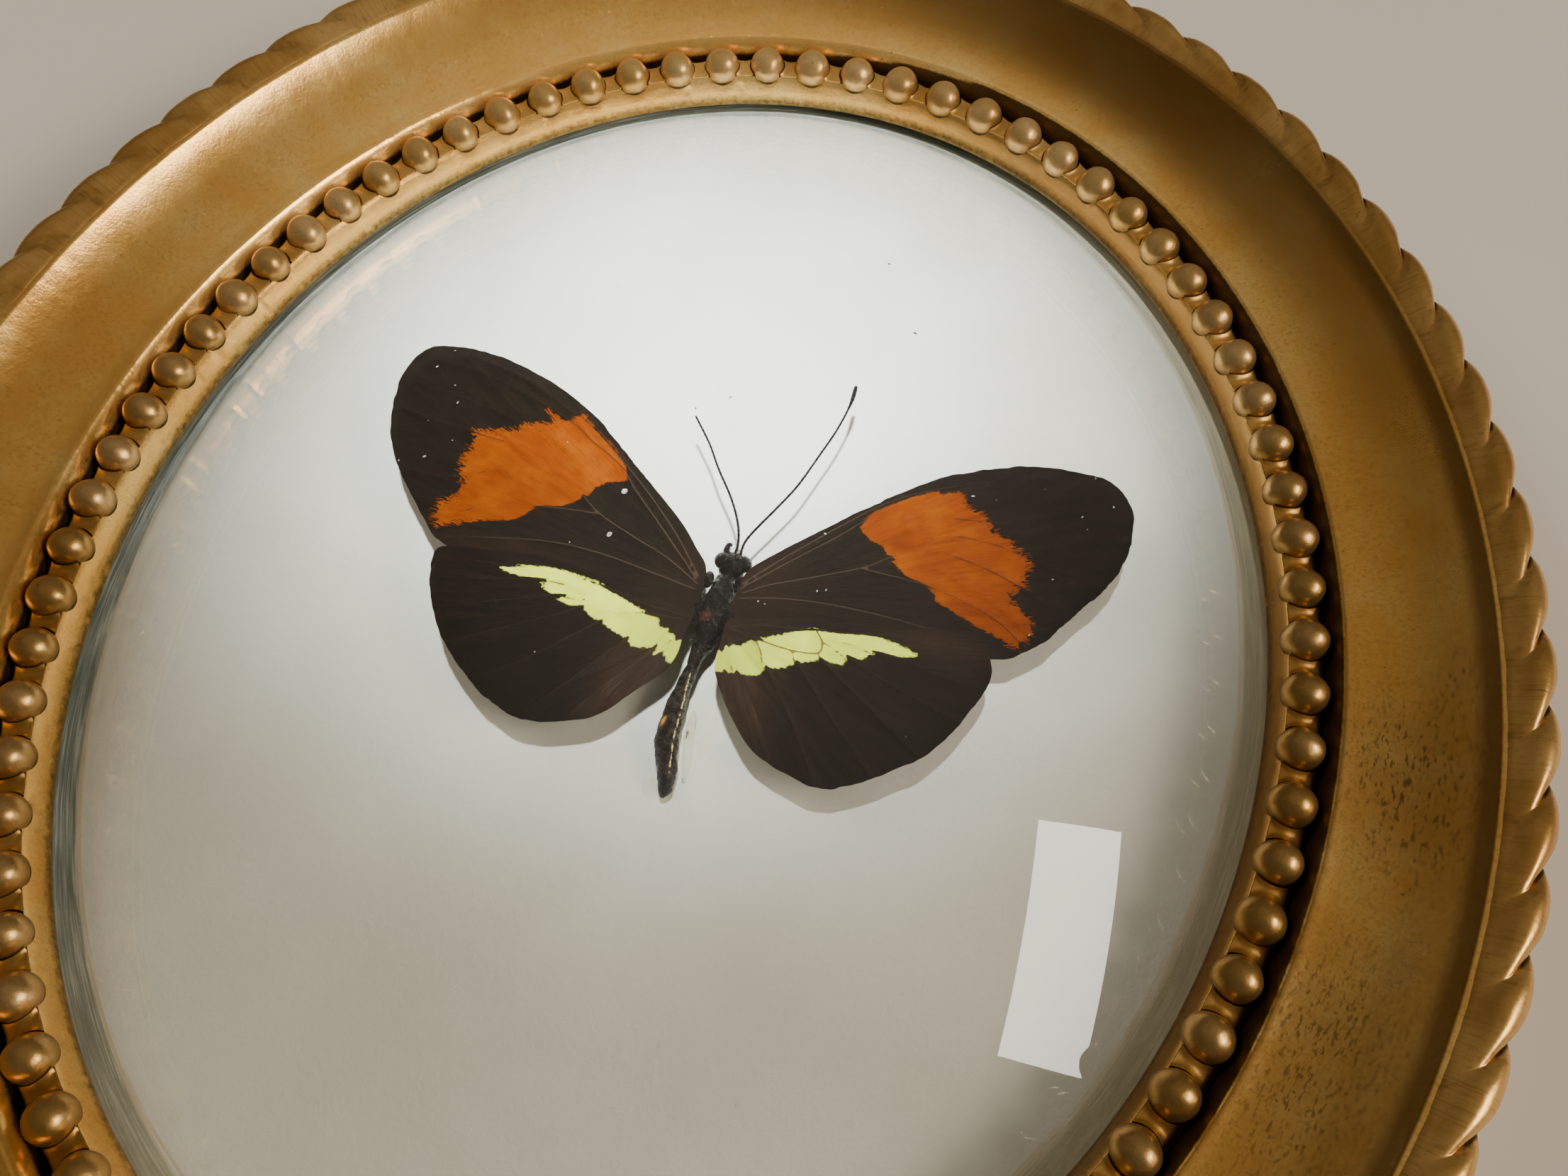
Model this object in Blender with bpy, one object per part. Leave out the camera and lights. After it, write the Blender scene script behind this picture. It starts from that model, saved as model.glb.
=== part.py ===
"""A butterfly on white paper under convex oval glass, in an oval gilt moulding.

The frame lies on its back. X runs across the oval, Y along its longer axis towards the butterfly's
head, and Z up to the viewer. The origin is the centre of the oval on the back plane.
"""

import math

import bmesh
import bpy
import numpy as np
from mathutils import Vector

MM = 0.001

# Driving dimensions, in millimetres. The oval is the line through the centres of the beads, and every
# profile point is (distance outwards from that line, height above the back plane).
OVAL_X = 50.8
OVAL_Y = 61.1
BEAD_HEIGHT = 11.0
BEAD_COUNT = 75
BEAD_RADIUS = 2.0
BEAD_START = 0.6743  # place of the first bead, as a share of the way round from +X

ROPE_OUT = 14.4
ROPE_HEIGHT = 16.4
ROPE_RADIUS = 1.8
ROPE_STRANDS = 71
ROPE_START = 0.19  # place of the first groove from +X, in strands
ROPE_LEAN = 4.6  # how far a strand slants along the edge, from its inner to its outer side
ROPE_GROOVE = 0.6
ROPE_SIDES = 6

RABBET_OUT = 1.0
LIP_UNDERSIDE = 7.6
RABBET = [(RABBET_OUT, 0.0), (RABBET_OUT, LIP_UNDERSIDE)]
LIP = [(-2.0, LIP_UNDERSIDE), (-2.0, 8.6), (-1.2, 10.5)]
BEAD_CHANNEL = [(0.9, 10.2), (2.1, 12.3)]
COVE = [(4.9, 12.6), (8.3, 13.8), (10.6, 15.5), (12.0, 17.0)]
OUTER_SIDE = [(14.4, 16.9), (15.1, 14.2), (14.4, 0.8), (13.6, 0.0)]
MOULDING_STEPS = 50

GAP = 0.3  # between neighbouring pieces
RABBET_PLAY = 0.4  # between the rabbet wall and what lies in the rabbet
GLASS_THICKNESS = 2.0
GLASS_RIM_TOP = LIP_UNDERSIDE - GAP
GLASS_RIM_WIDTH = 3.0
GLASS_RISE = 14.0
GLASS_CAP_ANGLE = math.radians(32.3)
GLASS_RINGS = (0.35, 0.65, 0.87)
GLASS_SIDES = 36

MAT_THICKNESS = 0.6
MAT_TOP = GLASS_RIM_TOP - GLASS_THICKNESS - GAP
BOARD_THICKNESS = 1.7
BOARD_TOP = MAT_TOP - MAT_THICKNESS - GAP
SHEET_SIDES = 48

POINT_COUNT = 6
POINT_LENGTH = 9.0
POINT_WIDTH = 5.0
POINT_THICKNESS = 0.8
POINT_IN_RABBET = 3.0

HANGER_LENGTH = 40.0
HANGER_WIDTH = 7.0
HANGER_THICKNESS = 0.8
HANGER_TEETH = 9
HANGER_TOOTH = 1.4
HANGER_PLAIN_END = 8.0
HANGER_CORNER = 1.5
HANGER_Y = 40.0

WING_THICKNESS = 0.4
WING_TILT = 0.02  # rise of a wing for each millimetre away from the body
FOREWING_UNDERSIDE = 7.8
HINDWING_UNDERSIDE = FOREWING_UNDERSIDE + WING_THICKNESS + GAP
BODY_X = 3.5

# Wing outlines from the front of the wing root, round the tip and back to the root, in millimetres.
FOREWING_LEFT = [
    (1.8, 2.6), (0.3, 4.5), (-1.9, 6.8), (-7.1, 11.0), (-12.5, 15.2), (-17.4, 17.5), (-21.4, 18.6),
    (-24.7, 19.0), (-27.5, 18.7), (-29.2, 17.9), (-30.2, 16.0), (-30.3, 14.0), (-29.9, 11.5),
    (-29.3, 9.3), (-27.2, 5.7), (-23.5, 1.7), (-21.9, 0.1), (-20.5, -0.7), (-16.6, -1.9), (-7.8, -2.0),
    (0.1, -1.8), (1.9, -1.3),
]
FOREWING_RIGHT = [
    (5.0, 2.9), (6.5, 5.0), (10.0, 8.5), (13.8, 12.1), (18.2, 15.7), (22.0, 17.7), (26.1, 19.2),
    (29.9, 19.6), (32.9, 19.3), (34.6, 18.0), (35.5, 16.0), (35.6, 12.9), (34.6, 9.6), (32.5, 6.2),
    (30.3, 3.0), (28.3, 1.2), (26.5, 0.3), (21.8, -0.7), (12.9, -1.7), (7.0, -1.9), (5.0, -1.5),
]
HINDWING_LEFT = [
    (1.9, -1.1), (-1.8, -1.1), (-5.8, -0.6), (-10.2, 0.0), (-14.6, -0.4), (-18.1, -0.9), (-20.2, -1.3),
    (-20.5, -2.5), (-19.9, -4.6), (-18.5, -7.2), (-16.8, -9.5), (-14.4, -11.5), (-11.7, -13.2),
    (-8.4, -14.2), (-4.6, -13.3), (-2.4, -12.0), (-0.6, -9.7), (1.3, -7.2), (1.8, -5.4), (1.8, -3.8),
]
HINDWING_RIGHT = [
    (5.0, -1.6), (7.0, -1.0), (12.0, 0.2), (17.9, 1.0), (22.6, 1.8), (25.0, 1.5), (26.2, 0.2),
    (26.6, -1.5), (26.0, -3.8), (24.7, -6.6), (23.0, -9.2), (20.3, -11.4), (18.0, -12.9), (15.6, -13.8),
    (12.6, -13.2), (10.1, -12.2), (7.8, -10.1), (5.6, -7.1), (5.0, -5.6), (4.9, -3.8),
]
OUTLINE_STEPS = 2

# The body from the tip of the abdomen to the face: x, y, z of its middle, half width, half height.
BODY_SECTIONS = [
    (3.71, -16.7, 5.9, 0.15, 0.12), (3.71, -16.0, 6.0, 0.60, 0.50), (3.51, -14.7, 6.1, 0.82, 0.70),
    (3.02, -13.2, 6.3, 1.00, 0.90), (2.72, -11.8, 6.4, 1.00, 0.95), (2.63, -9.8, 6.5, 0.85, 0.90),
    (2.68, -7.9, 6.6, 0.68, 0.80), (2.92, -6.0, 6.8, 0.55, 0.70), (3.12, -4.7, 7.0, 0.62, 0.75),
    (3.32, -3.5, 7.1, 0.90, 1.20), (3.42, -1.7, 7.2, 1.18, 1.60), (3.47, 0.2, 7.3, 1.18, 1.75),
    (3.57, 1.7, 7.3, 1.00, 1.35), (3.62, 2.6, 7.4, 0.62, 0.75), (3.69, 3.2, 7.5, 1.05, 1.00),
    (3.72, 4.0, 7.5, 1.20, 1.15), (3.69, 4.8, 7.4, 0.80, 0.80), (3.67, 5.2, 7.3, 0.20, 0.25),
]
BODY_SIDES = 10
EYES = [((2.83, 4.02, 7.7), 0.75), ((4.6, 4.12, 7.7), 0.72)]
EYE_SIDES = 8
EYE_RINGS = 6
ANTENNA_RADIUS = 0.13
ANTENNA_LEFT = [
    (3.62, 4.6, 7.8), (3.7, 5.7, 8.3), (3.2, 7.4, 8.5), (2.0, 9.6, 8.6), (0.1, 12.2, 8.7),
    (-1.4, 14.5, 8.7), (-3.4, 17.0, 8.7),
]
ANTENNA_RIGHT = [
    (4.12, 4.6, 7.8), (4.22, 5.8, 8.3), (4.8, 7.2, 8.5), (6.0, 9.6, 8.6), (7.2, 12.2, 8.7),
    (8.2, 15.5, 8.7), (9.1, 18.7, 8.7), (9.6, 21.6, 8.7), (9.64, 23.6, 8.7),
]
CLUB_RADIUS = 0.22  # the left antenna has lost its club
PALP = [(3.13, 4.6, 7.5), (2.83, 5.1, 7.7), (2.9, 5.6, 7.8), (3.2, 5.6, 7.8)]
PALP_RADII = [0.3, 0.28, 0.2, 0.1]
THIN_SIDES = 5

# The dried glue beside the abdomen: x, y, z of its middle, half width, half height.
GLUE_SECTIONS = [
    (4.00, -8.9, 5.6, 0.10, 0.10), (4.20, -10.3, 5.9, 0.36, 0.50), (4.45, -12.1, 6.0, 0.42, 0.62),
    (4.80, -13.7, 5.9, 0.36, 0.50), (4.89, -15.0, 5.6, 0.10, 0.10),
]
GLUE_SIDES = 8


def clear_scene():
    for thing in list(bpy.data.objects):
        bpy.data.objects.remove(thing, do_unlink=True)


def material(name, color, roughness, metallic=0.0, transmission=0.0):
    made = bpy.data.materials.new(name)
    made.use_nodes = True
    shader = made.node_tree.nodes["Principled BSDF"]
    shader.inputs["Base Color"].default_value = (*color, 1.0)
    shader.inputs["Roughness"].default_value = roughness
    shader.inputs["Metallic"].default_value = metallic
    shader.inputs["Transmission Weight"].default_value = transmission
    return made


def new_object(name, mesh, finish):
    """Puts a bmesh, given in millimetres, into the scene as a named object."""
    bmesh.ops.scale(mesh, vec=(MM, MM, MM), verts=mesh.verts)
    bmesh.ops.recalc_face_normals(mesh, faces=mesh.faces)
    data = bpy.data.meshes.new(name)
    mesh.to_mesh(data)
    mesh.free()
    data.materials.append(finish)
    made = bpy.data.objects.new(name, data)
    bpy.context.scene.collection.objects.link(made)
    return made


def shade_round(thing, degrees=40):
    thing.data.shade_smooth()
    thing.data.set_sharp_from_angle(angle=math.radians(degrees))


def hidden_tool(thing):
    thing.hide_render = True
    thing.display_type = "WIRE"
    return thing


def boolean(thing, tool, operation):
    change = thing.modifiers.new(tool.name, "BOOLEAN")
    change.operation = operation
    change.solver = "EXACT"
    change.object = tool


def oval(share, measured_out=0.0):
    """Point and outward normal of the bead line at a share of the way round, from +X towards +Y.

    The way round is measured on the curve that lies measured_out outside the bead line.
    """
    angles = np.linspace(0.0, 2.0 * math.pi, 2001)
    x = OVAL_X * np.cos(angles)
    y = OVAL_Y * np.sin(angles)
    steep = np.hypot(np.cos(angles) / OVAL_X, np.sin(angles) / OVAL_Y)
    x += measured_out * np.cos(angles) / OVAL_X / steep
    y += measured_out * np.sin(angles) / OVAL_Y / steep
    length = np.concatenate([[0.0], np.cumsum(np.hypot(np.diff(x), np.diff(y)))])
    angle = np.interp((share % 1.0) * length[-1], length, angles)
    point = Vector((OVAL_X * math.cos(angle), OVAL_Y * math.sin(angle)))
    normal = Vector((math.cos(angle) / OVAL_X, math.sin(angle) / OVAL_Y)).normalized()
    return point, normal


def beside_oval(share, out, height, measured_out=0.0):
    point, normal = oval(share, measured_out)
    return Vector((*(point + normal * out), height))


def grid(mesh, rows, closed_rows=True):
    """Joins rows of points with quads. Each row is a closed ring; the rows may close on themselves too."""
    verts = [[mesh.verts.new(point) for point in row] for row in rows]
    last = len(verts) if closed_rows else len(verts) - 1
    for i in range(last):
        here = verts[i]
        there = verts[(i + 1) % len(verts)]
        for j in range(len(here)):
            k = (j + 1) % len(here)
            mesh.faces.new((here[j], here[k], there[k], there[j]))
    return verts


def loft(mesh, sections, sides):
    """A closed body through elliptical sections of x, y, z, half width and half height, along Y."""
    rows = []
    for x, y, z, half_width, half_height in sections:
        turns = [2.0 * math.pi * i / sides for i in range(sides)]
        rows.append([
            Vector((x + half_width * math.cos(a), y, z + half_height * math.sin(a))) for a in turns
        ])
    verts = grid(mesh, rows, closed_rows=False)
    mesh.faces.new(verts[0])
    mesh.faces.new(verts[-1])


def tube(route, radii):
    """A thin closed tube along a route, with one radius for each of its points."""
    mesh = bmesh.new()
    rows = []
    for i, point in enumerate(route):
        ahead = Vector(route[min(i + 1, len(route) - 1)]) - Vector(route[max(i - 1, 0)])
        across = ahead.cross(Vector((0.0, 0.0, 1.0))).normalized()
        above = across.cross(ahead).normalized()
        turns = [2.0 * math.pi * k / THIN_SIDES for k in range(THIN_SIDES)]
        rows.append([
            Vector(point) + (across * math.cos(a) + above * math.sin(a)) * radii[i] for a in turns
        ])
    verts = grid(mesh, rows, closed_rows=False)
    mesh.faces.new(verts[0])
    mesh.faces.new(verts[-1])
    return mesh


def smooth_outline(points):
    """Points of a closed smooth curve (Catmull-Rom) that passes through the given ones."""
    made = []
    for i in range(len(points)):
        p0, p1, p2, p3 = [Vector(points[(i + k) % len(points)]) for k in (-1, 0, 1, 2)]
        for k in range(OUTLINE_STEPS):
            t = k / OUTLINE_STEPS
            bend = (p2 - p0) * t
            bend += (p0 * 2 - p1 * 5 + p2 * 4 - p3) * t * t
            bend += (p1 * 3 - p0 - p2 * 3 + p3) * t * t * t
            made.append(p1 + bend * 0.5)
    return made


def extrude_outline(mesh, outline, low, high):
    """A plate with this outline. low and high give the height of its two faces at a point."""
    bottom = [mesh.verts.new((p.x, p.y, low(p))) for p in outline]
    top = [mesh.verts.new((p.x, p.y, high(p))) for p in outline]
    mesh.faces.new(bottom)
    mesh.faces.new(top)
    for i in range(len(outline)):
        k = (i + 1) % len(outline)
        mesh.faces.new((bottom[i], bottom[k], top[k], top[i]))


# Frame

def moulding_mesh():
    mesh = bmesh.new()
    profile = RABBET + LIP + BEAD_CHANNEL + COVE + OUTER_SIDE
    rows = []
    for i in range(MOULDING_STEPS):
        rows.append([beside_oval(i / MOULDING_STEPS, out, height) for out, height in profile])
    grid(mesh, rows)
    return mesh


def rope_mesh():
    """The twisted edge: a ring with a slanting groove between each two strands."""
    mesh = bmesh.new()
    length_round = math.pi * (OVAL_X + OVAL_Y + 2.0 * ROPE_OUT)
    rows = []
    for strand in range(ROPE_STRANDS):
        for place, radius in ((0.0, ROPE_RADIUS - ROPE_GROOVE), (0.5, ROPE_RADIUS)):
            row = []
            for side in range(ROPE_SIDES):
                turn = 2.0 * math.pi * side / ROPE_SIDES
                slant = ROPE_LEAN * math.cos(turn) / 2.0 / length_round
                share = (strand + ROPE_START + place) / ROPE_STRANDS + slant
                out = ROPE_OUT + radius * math.cos(turn)
                height = ROPE_HEIGHT + radius * math.sin(turn)
                row.append(beside_oval(share, out, height, ROPE_OUT))
            rows.append(row)
    grid(mesh, rows)
    return mesh


def bead_mesh():
    mesh = bmesh.new()
    for bead in range(BEAD_COUNT):
        centre = beside_oval(BEAD_START - bead / BEAD_COUNT, 0.0, BEAD_HEIGHT)
        made = bmesh.ops.create_icosphere(mesh, subdivisions=1, radius=BEAD_RADIUS)
        bmesh.ops.translate(mesh, verts=made["verts"], vec=centre)
    return mesh


def slot_mesh():
    """The slots in the rabbet wall that the retaining points sit in."""
    mesh = bmesh.new()
    for share in point_places():
        low, high = point_heights()
        add_bar(
            mesh, share, -POINT_IN_RABBET, POINT_LENGTH - POINT_IN_RABBET + GAP,
            POINT_WIDTH / 2 + GAP, low - GAP, high + GAP,
        )
    return mesh


def build_frame():
    gilt = material("antique_gilt", (0.46, 0.27, 0.10), 0.38, metallic=0.8)
    frame = new_object("frame", moulding_mesh(), gilt)
    rope = hidden_tool(new_object("rope_tool", rope_mesh(), gilt))
    beads = hidden_tool(new_object("bead_tool", bead_mesh(), gilt))
    slots = hidden_tool(new_object("slot_tool", slot_mesh(), gilt))
    boolean(frame, rope, "UNION")
    boolean(frame, beads, "UNION")
    boolean(frame, slots, "DIFFERENCE")
    shade_round(frame)


# Glass

def dome_height(share):
    """Height of the glass over its rim at a share of the way from the centre to the dome's edge."""
    edge = math.cos(GLASS_CAP_ANGLE)
    here = math.cos(math.asin(share * math.sin(GLASS_CAP_ANGLE)))
    return GLASS_RISE * (here - edge) / (1.0 - edge)


def build_glass():
    glass = material("clear_glass", (1.0, 1.0, 1.0), 0.02, transmission=1.0)
    mesh = bmesh.new()
    rim_out = RABBET_OUT - RABBET_PLAY
    dome_out = rim_out - GLASS_RIM_WIDTH
    rows = []
    for face, under in ((0, 0.0), (1, GLASS_THICKNESS)):
        rings = []
        for share in GLASS_RINGS + (1.0,):
            ring = [beside_oval(i / GLASS_SIDES, dome_out, 0.0) * share for i in range(GLASS_SIDES)]
            rings.append([Vector((p.x, p.y, GLASS_RIM_TOP - under + dome_height(share))) for p in ring])
        rings.append([
            beside_oval(i / GLASS_SIDES, rim_out, GLASS_RIM_TOP - under) for i in range(GLASS_SIDES)
        ])
        rows += rings if face == 0 else rings[::-1]
    verts = grid(mesh, rows, closed_rows=False)
    for ring, height in ((verts[0], 0.0), (verts[-1], GLASS_THICKNESS)):
        top = mesh.verts.new((0.0, 0.0, GLASS_RIM_TOP - height + GLASS_RISE))
        for i in range(GLASS_SIDES):
            mesh.faces.new((ring[i], ring[(i + 1) % GLASS_SIDES], top))
    shade_round(new_object("glass_dome", mesh, glass))


# Paper, board and what holds them

def build_sheet(name, finish, top, thickness):
    mesh = bmesh.new()
    out = RABBET_OUT - RABBET_PLAY
    outline = [beside_oval(i / SHEET_SIDES, out, 0.0) for i in range(SHEET_SIDES)]
    extrude_outline(mesh, outline, lambda p: top - thickness, lambda p: top)
    new_object(name, mesh, finish)


def build_mat():
    build_sheet("mat", material("white_paper", (0.78, 0.78, 0.76), 0.9), MAT_TOP, MAT_THICKNESS)


def build_backing_board():
    brown_board = material("brown_board", (0.30, 0.19, 0.10), 0.85)
    build_sheet("backing_board", brown_board, BOARD_TOP, BOARD_THICKNESS)


def point_places():
    return [(i + 0.5) / POINT_COUNT for i in range(POINT_COUNT)]


def point_heights():
    high = BOARD_TOP - BOARD_THICKNESS - GAP
    return high - POINT_THICKNESS, high


def add_bar(mesh, share, inner, outer, half_width, low, high):
    """A flat bar that crosses the rabbet wall at a place on the oval."""
    point, normal = oval(share)
    along = Vector((-normal.y, normal.x))
    corners = []
    for out, side in ((inner, -1), (outer, -1), (outer, 1), (inner, 1)):
        corners.append(point + normal * (RABBET_OUT + out) + along * (side * half_width))
    extrude_outline(mesh, corners, lambda p: low, lambda p: high)


def build_retaining_points():
    steel = material("dull_steel", (0.45, 0.44, 0.42), 0.45, metallic=1.0)
    low, high = point_heights()
    for number, share in enumerate(point_places(), start=1):
        mesh = bmesh.new()
        outer = POINT_LENGTH - POINT_IN_RABBET
        add_bar(mesh, share, -POINT_IN_RABBET, outer, POINT_WIDTH / 2, low, high)
        new_object(f"retaining_point_{number}", mesh, steel)


def build_hanger():
    """A sawtooth plate on the back of the board, near the head end."""
    brass = material("brassed_steel", (0.60, 0.46, 0.22), 0.4, metallic=1.0)
    mesh = bmesh.new()
    high = BOARD_TOP - BOARD_THICKNESS - GAP
    half = HANGER_LENGTH / 2
    teeth_half = half - HANGER_PLAIN_END
    pitch = 2.0 * teeth_half / HANGER_TEETH
    top_edge = HANGER_Y + HANGER_WIDTH / 2
    low_edge = HANGER_Y - HANGER_WIDTH / 2
    cut = HANGER_CORNER
    outline = [(half, low_edge + cut), (half, top_edge - cut), (half - cut, top_edge)]
    outline += [(cut - half, top_edge), (-half, top_edge - cut), (-half, low_edge + cut)]
    outline += [(cut - half, low_edge), (-teeth_half, low_edge)]
    for tooth in range(HANGER_TEETH):
        outline.append((-teeth_half + pitch * (tooth + 0.5), low_edge + HANGER_TOOTH))
        outline.append((-teeth_half + pitch * (tooth + 1.0), low_edge))
    outline.append((half - cut, low_edge))
    points = [Vector((x, y)) for x, y in outline]
    extrude_outline(mesh, points, lambda p: high - HANGER_THICKNESS, lambda p: high)
    new_object("sawtooth_hanger", mesh, brass)


# Butterfly

def build_wing(name, outline, underside, finish):
    mesh = bmesh.new()

    def low(point):
        return underside + WING_TILT * abs(point.x - BODY_X)

    extrude_outline(mesh, smooth_outline(outline), low, lambda point: low(point) + WING_THICKNESS)
    new_object(name, mesh, finish)


def build_wings():
    black = material("wing_black", (0.024, 0.017, 0.012), 0.75)
    build_wing("forewing_left", FOREWING_LEFT, FOREWING_UNDERSIDE, black)
    build_wing("forewing_right", FOREWING_RIGHT, FOREWING_UNDERSIDE, black)
    build_wing("hindwing_left", HINDWING_LEFT, HINDWING_UNDERSIDE, black)
    build_wing("hindwing_right", HINDWING_RIGHT, HINDWING_UNDERSIDE, black)


def eye_mesh(centre, radius):
    mesh = bmesh.new()
    bmesh.ops.create_uvsphere(mesh, u_segments=EYE_SIDES, v_segments=EYE_RINGS, radius=radius)
    bmesh.ops.translate(mesh, verts=mesh.verts, vec=centre)
    return mesh


def build_body():
    black = material("body_black", (0.02, 0.016, 0.014), 0.45)
    mesh = bmesh.new()
    loft(mesh, BODY_SECTIONS, BODY_SIDES)
    body = new_object("butterfly_body", mesh, black)
    thin_left = [ANTENNA_RADIUS] * len(ANTENNA_LEFT)
    thin_right = [ANTENNA_RADIUS] * (len(ANTENNA_RIGHT) - 2) + [CLUB_RADIUS] * 2
    grown = {
        "left_eye": eye_mesh(*EYES[0]),
        "right_eye": eye_mesh(*EYES[1]),
        "left_antenna": tube(ANTENNA_LEFT, thin_left),
        "right_antenna": tube(ANTENNA_RIGHT, thin_right),
        "palp": tube(PALP, PALP_RADII),
    }
    for name, part in grown.items():
        boolean(body, hidden_tool(new_object(f"{name}_tool", part, black)), "UNION")
    shade_round(body)


def build_glue():
    clear_glue = material("clear_glue", (0.80, 0.72, 0.50), 0.12, transmission=0.9)
    mesh = bmesh.new()
    loft(mesh, GLUE_SECTIONS, GLUE_SIDES)
    shade_round(new_object("glue_dab", mesh, clear_glue))


clear_scene()
build_frame()
build_glass()
build_mat()
build_backing_board()
build_retaining_points()
build_hanger()
build_wings()
build_body()
build_glue()
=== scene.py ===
"""Looks of a butterfly on white paper under convex oval glass, in an oval gilt moulding.

X runs across the oval, Y along its longer axis towards the butterfly's head, and Z up to the viewer.
The origin is the centre of the oval on the back plane. Shapes are written in millimetres.
"""

import math

import bpy
import numpy as np
from mathutils import Matrix, Quaternion, Vector, noise
from mathutils.geometry import delaunay_2d_cdt


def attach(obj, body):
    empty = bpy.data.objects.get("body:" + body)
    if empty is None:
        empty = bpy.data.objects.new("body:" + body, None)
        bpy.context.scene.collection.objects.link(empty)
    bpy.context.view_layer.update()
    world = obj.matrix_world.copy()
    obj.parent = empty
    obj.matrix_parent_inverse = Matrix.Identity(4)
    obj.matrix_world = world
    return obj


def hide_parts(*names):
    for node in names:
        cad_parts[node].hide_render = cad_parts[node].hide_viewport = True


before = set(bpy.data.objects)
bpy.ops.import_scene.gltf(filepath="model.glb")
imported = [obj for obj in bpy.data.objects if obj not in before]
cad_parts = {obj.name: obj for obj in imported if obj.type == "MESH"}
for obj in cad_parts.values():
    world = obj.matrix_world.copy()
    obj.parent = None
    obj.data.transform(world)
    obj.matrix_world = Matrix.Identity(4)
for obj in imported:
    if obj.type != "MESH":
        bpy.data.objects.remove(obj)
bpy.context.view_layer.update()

MM = 0.001
TURN = 2.0 * math.pi

# The oval is the line through the centres of the beads. Profile points are (distance outwards from it,
# height above the back plane).
OVAL_X = 50.8
OVAL_Y = 61.1
BEAD_HEIGHT = 10.8
BEAD_COUNT = 75
BEAD_RADIUS = 1.86
BEAD_SHORTER = 0.94  # length along the row, as a share of the width
BEAD_START = 0.6743  # place of the first bead, as a share of the way round from +X
STEPS_PER_BEAD = 24

BACK = [(13.6, 0.0), (1.0, 0.0)]
RABBET = [(1.0, 0.02), (1.0, 7.58)]
LIP_UNDERSIDE = [(1.0, 7.6), (-1.95, 7.6)]
LIP = [(-2.0, 7.66), (-2.04, 8.1), (-1.98, 8.6), (-1.75, 9.3), (-1.5, 9.98), (-1.3, 10.46), (-1.22, 10.58)]
CHANNEL = [(-1.12, 10.2), (-1.05, 9.75), (-0.4, 9.7), (0.5, 9.7), (1.3, 9.6)]
GROOVE = [
    (1.62, 9.5), (1.76, 9.5), (1.86, 9.8), (1.94, 10.5), (2.04, 11.1), (2.2, 11.6), (2.42, 12.02),
    (2.62, 12.26),
]
COVE = [
    (2.74, 12.37), (2.95, 12.38), (3.4, 12.28), (4.2, 12.3), (5.2, 12.5), (6.4, 12.9), (7.6, 13.35),
    (8.7, 13.95), (9.7, 14.75), (10.6, 15.55), (11.3, 16.25), (11.85, 16.9),
]
FILLET = [(11.95, 17.02), (12.1, 17.08), (12.6, 17.06), (13.2, 16.9), (13.9, 16.5), (14.5, 15.9)]
OUTER_SIDE = [
    (14.95, 15.1), (15.08, 14.2), (14.85, 12.4), (14.55, 9.4), (14.4, 6.0), (14.42, 2.6), (14.36, 0.8),
    (14.1, 0.2), (13.7, 0.0),
]
PAD_FROM = -1.2
PAD_TO = 1.42
PAD_ROUND_BEAD = 1.93
PAD_BOTTOM = 9.5
PAD_NECK = 10.72
PAD_FACET = 10.74
SHADE_FROM_X = -8.0  # X at which painted shade on the inner side of the moulding begins, growing towards the side away from the light
SHADE_TO_X = 22.0
SHADED_SIDE = 68.0  # heading in degrees of the darker part of the cove: painted shade, in part dirt
SHADED_WIDTH = 33.0

ROPE_OUT = 14.4
ROPE_HEIGHT = 16.4
ROPE_RADIUS = 1.78
ROPE_STRANDS = 71
ROPE_START = 0.19  # place of the first crease from +X, in strands
ROPE_LEAN = 4.6  # how far a strand slants along the edge, from its inner to its outer side
ROPE_GROOVE = 0.78
ROPE_GATHER = 0.105  # how far the steps of a strand gather at its creases
ROPE_STEPS = 20
ROPE_SIDES = 26

GLASS_RIM_TOP = 7.3
GLASS_THICKNESS = 2.0
GLASS_RIM_OUT = 0.6
GLASS_RIM_WIDTH = 3.0
GLASS_RISE = 14.0
GLASS_CAP_ANGLE = math.radians(32.3)
GLASS_RINGS = 60
GLASS_SIDES = 256
STEELY_REFLECTION_SIDE = math.radians(150.0)  # heading at which the painted reflection in the glass's edge is most steel-blue

MAT_TOP = 5.0
MAT_THICKNESS = 0.6
MAT_RINGS = 110
MAT_SIDES = 320


# Lines and noise

def ease(low, high, value):
    """0 below low and 1 above high, or the reverse where low is the higher one."""
    t = np.clip((value - low) / (high - low), 0.0, 1.0)
    return t * t * (3.0 - 2.0 * t)


def bell(value, middle, width):
    """1 at the middle, falling softly to about 0 at twice the width."""
    return np.exp(-((value - middle) / width) ** 2)


def roughness_of(points, size, seed=0.0):
    """Smooth noise from -1 to 1 at each point, for lumps of about this size in millimetres."""
    points = np.asarray(points) / size
    if points.shape[1] == 2:
        points = np.column_stack([points, np.zeros(len(points))])
    shift = seed * np.array([17.3, 9.1, 5.7])
    return np.array([noise.noise(p) for p in (points + shift).tolist()])


def catmull(points, steps, closed=False):
    """Points of a smooth curve through the given ones."""
    p = np.asarray(points, float)
    if closed:
        p = np.vstack([p[-1:], p, p[:2]])
    else:
        p = np.vstack([2 * p[:1] - p[1:2], p, 2 * p[-1:] - p[-2:-1]])
    t = (np.arange(steps) / steps)[:, None]
    made = []
    for i in range(1, len(p) - 2):
        a, b, c, d = p[i - 1], p[i], p[i + 1], p[i + 2]
        curve = (c - a) * t + (2 * a - 5 * b + 4 * c - d) * t ** 2 + (3 * b - a - 3 * c + d) * t ** 3
        made.append(b + 0.5 * curve)
    if not closed:
        made.append(p[-2:-1])
    return np.vstack(made)


def length_along(points):
    """The length of a line of points, up to each of them."""
    return np.concatenate([[0.0], np.cumsum(np.linalg.norm(np.diff(points, axis=0), axis=1))])


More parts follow.
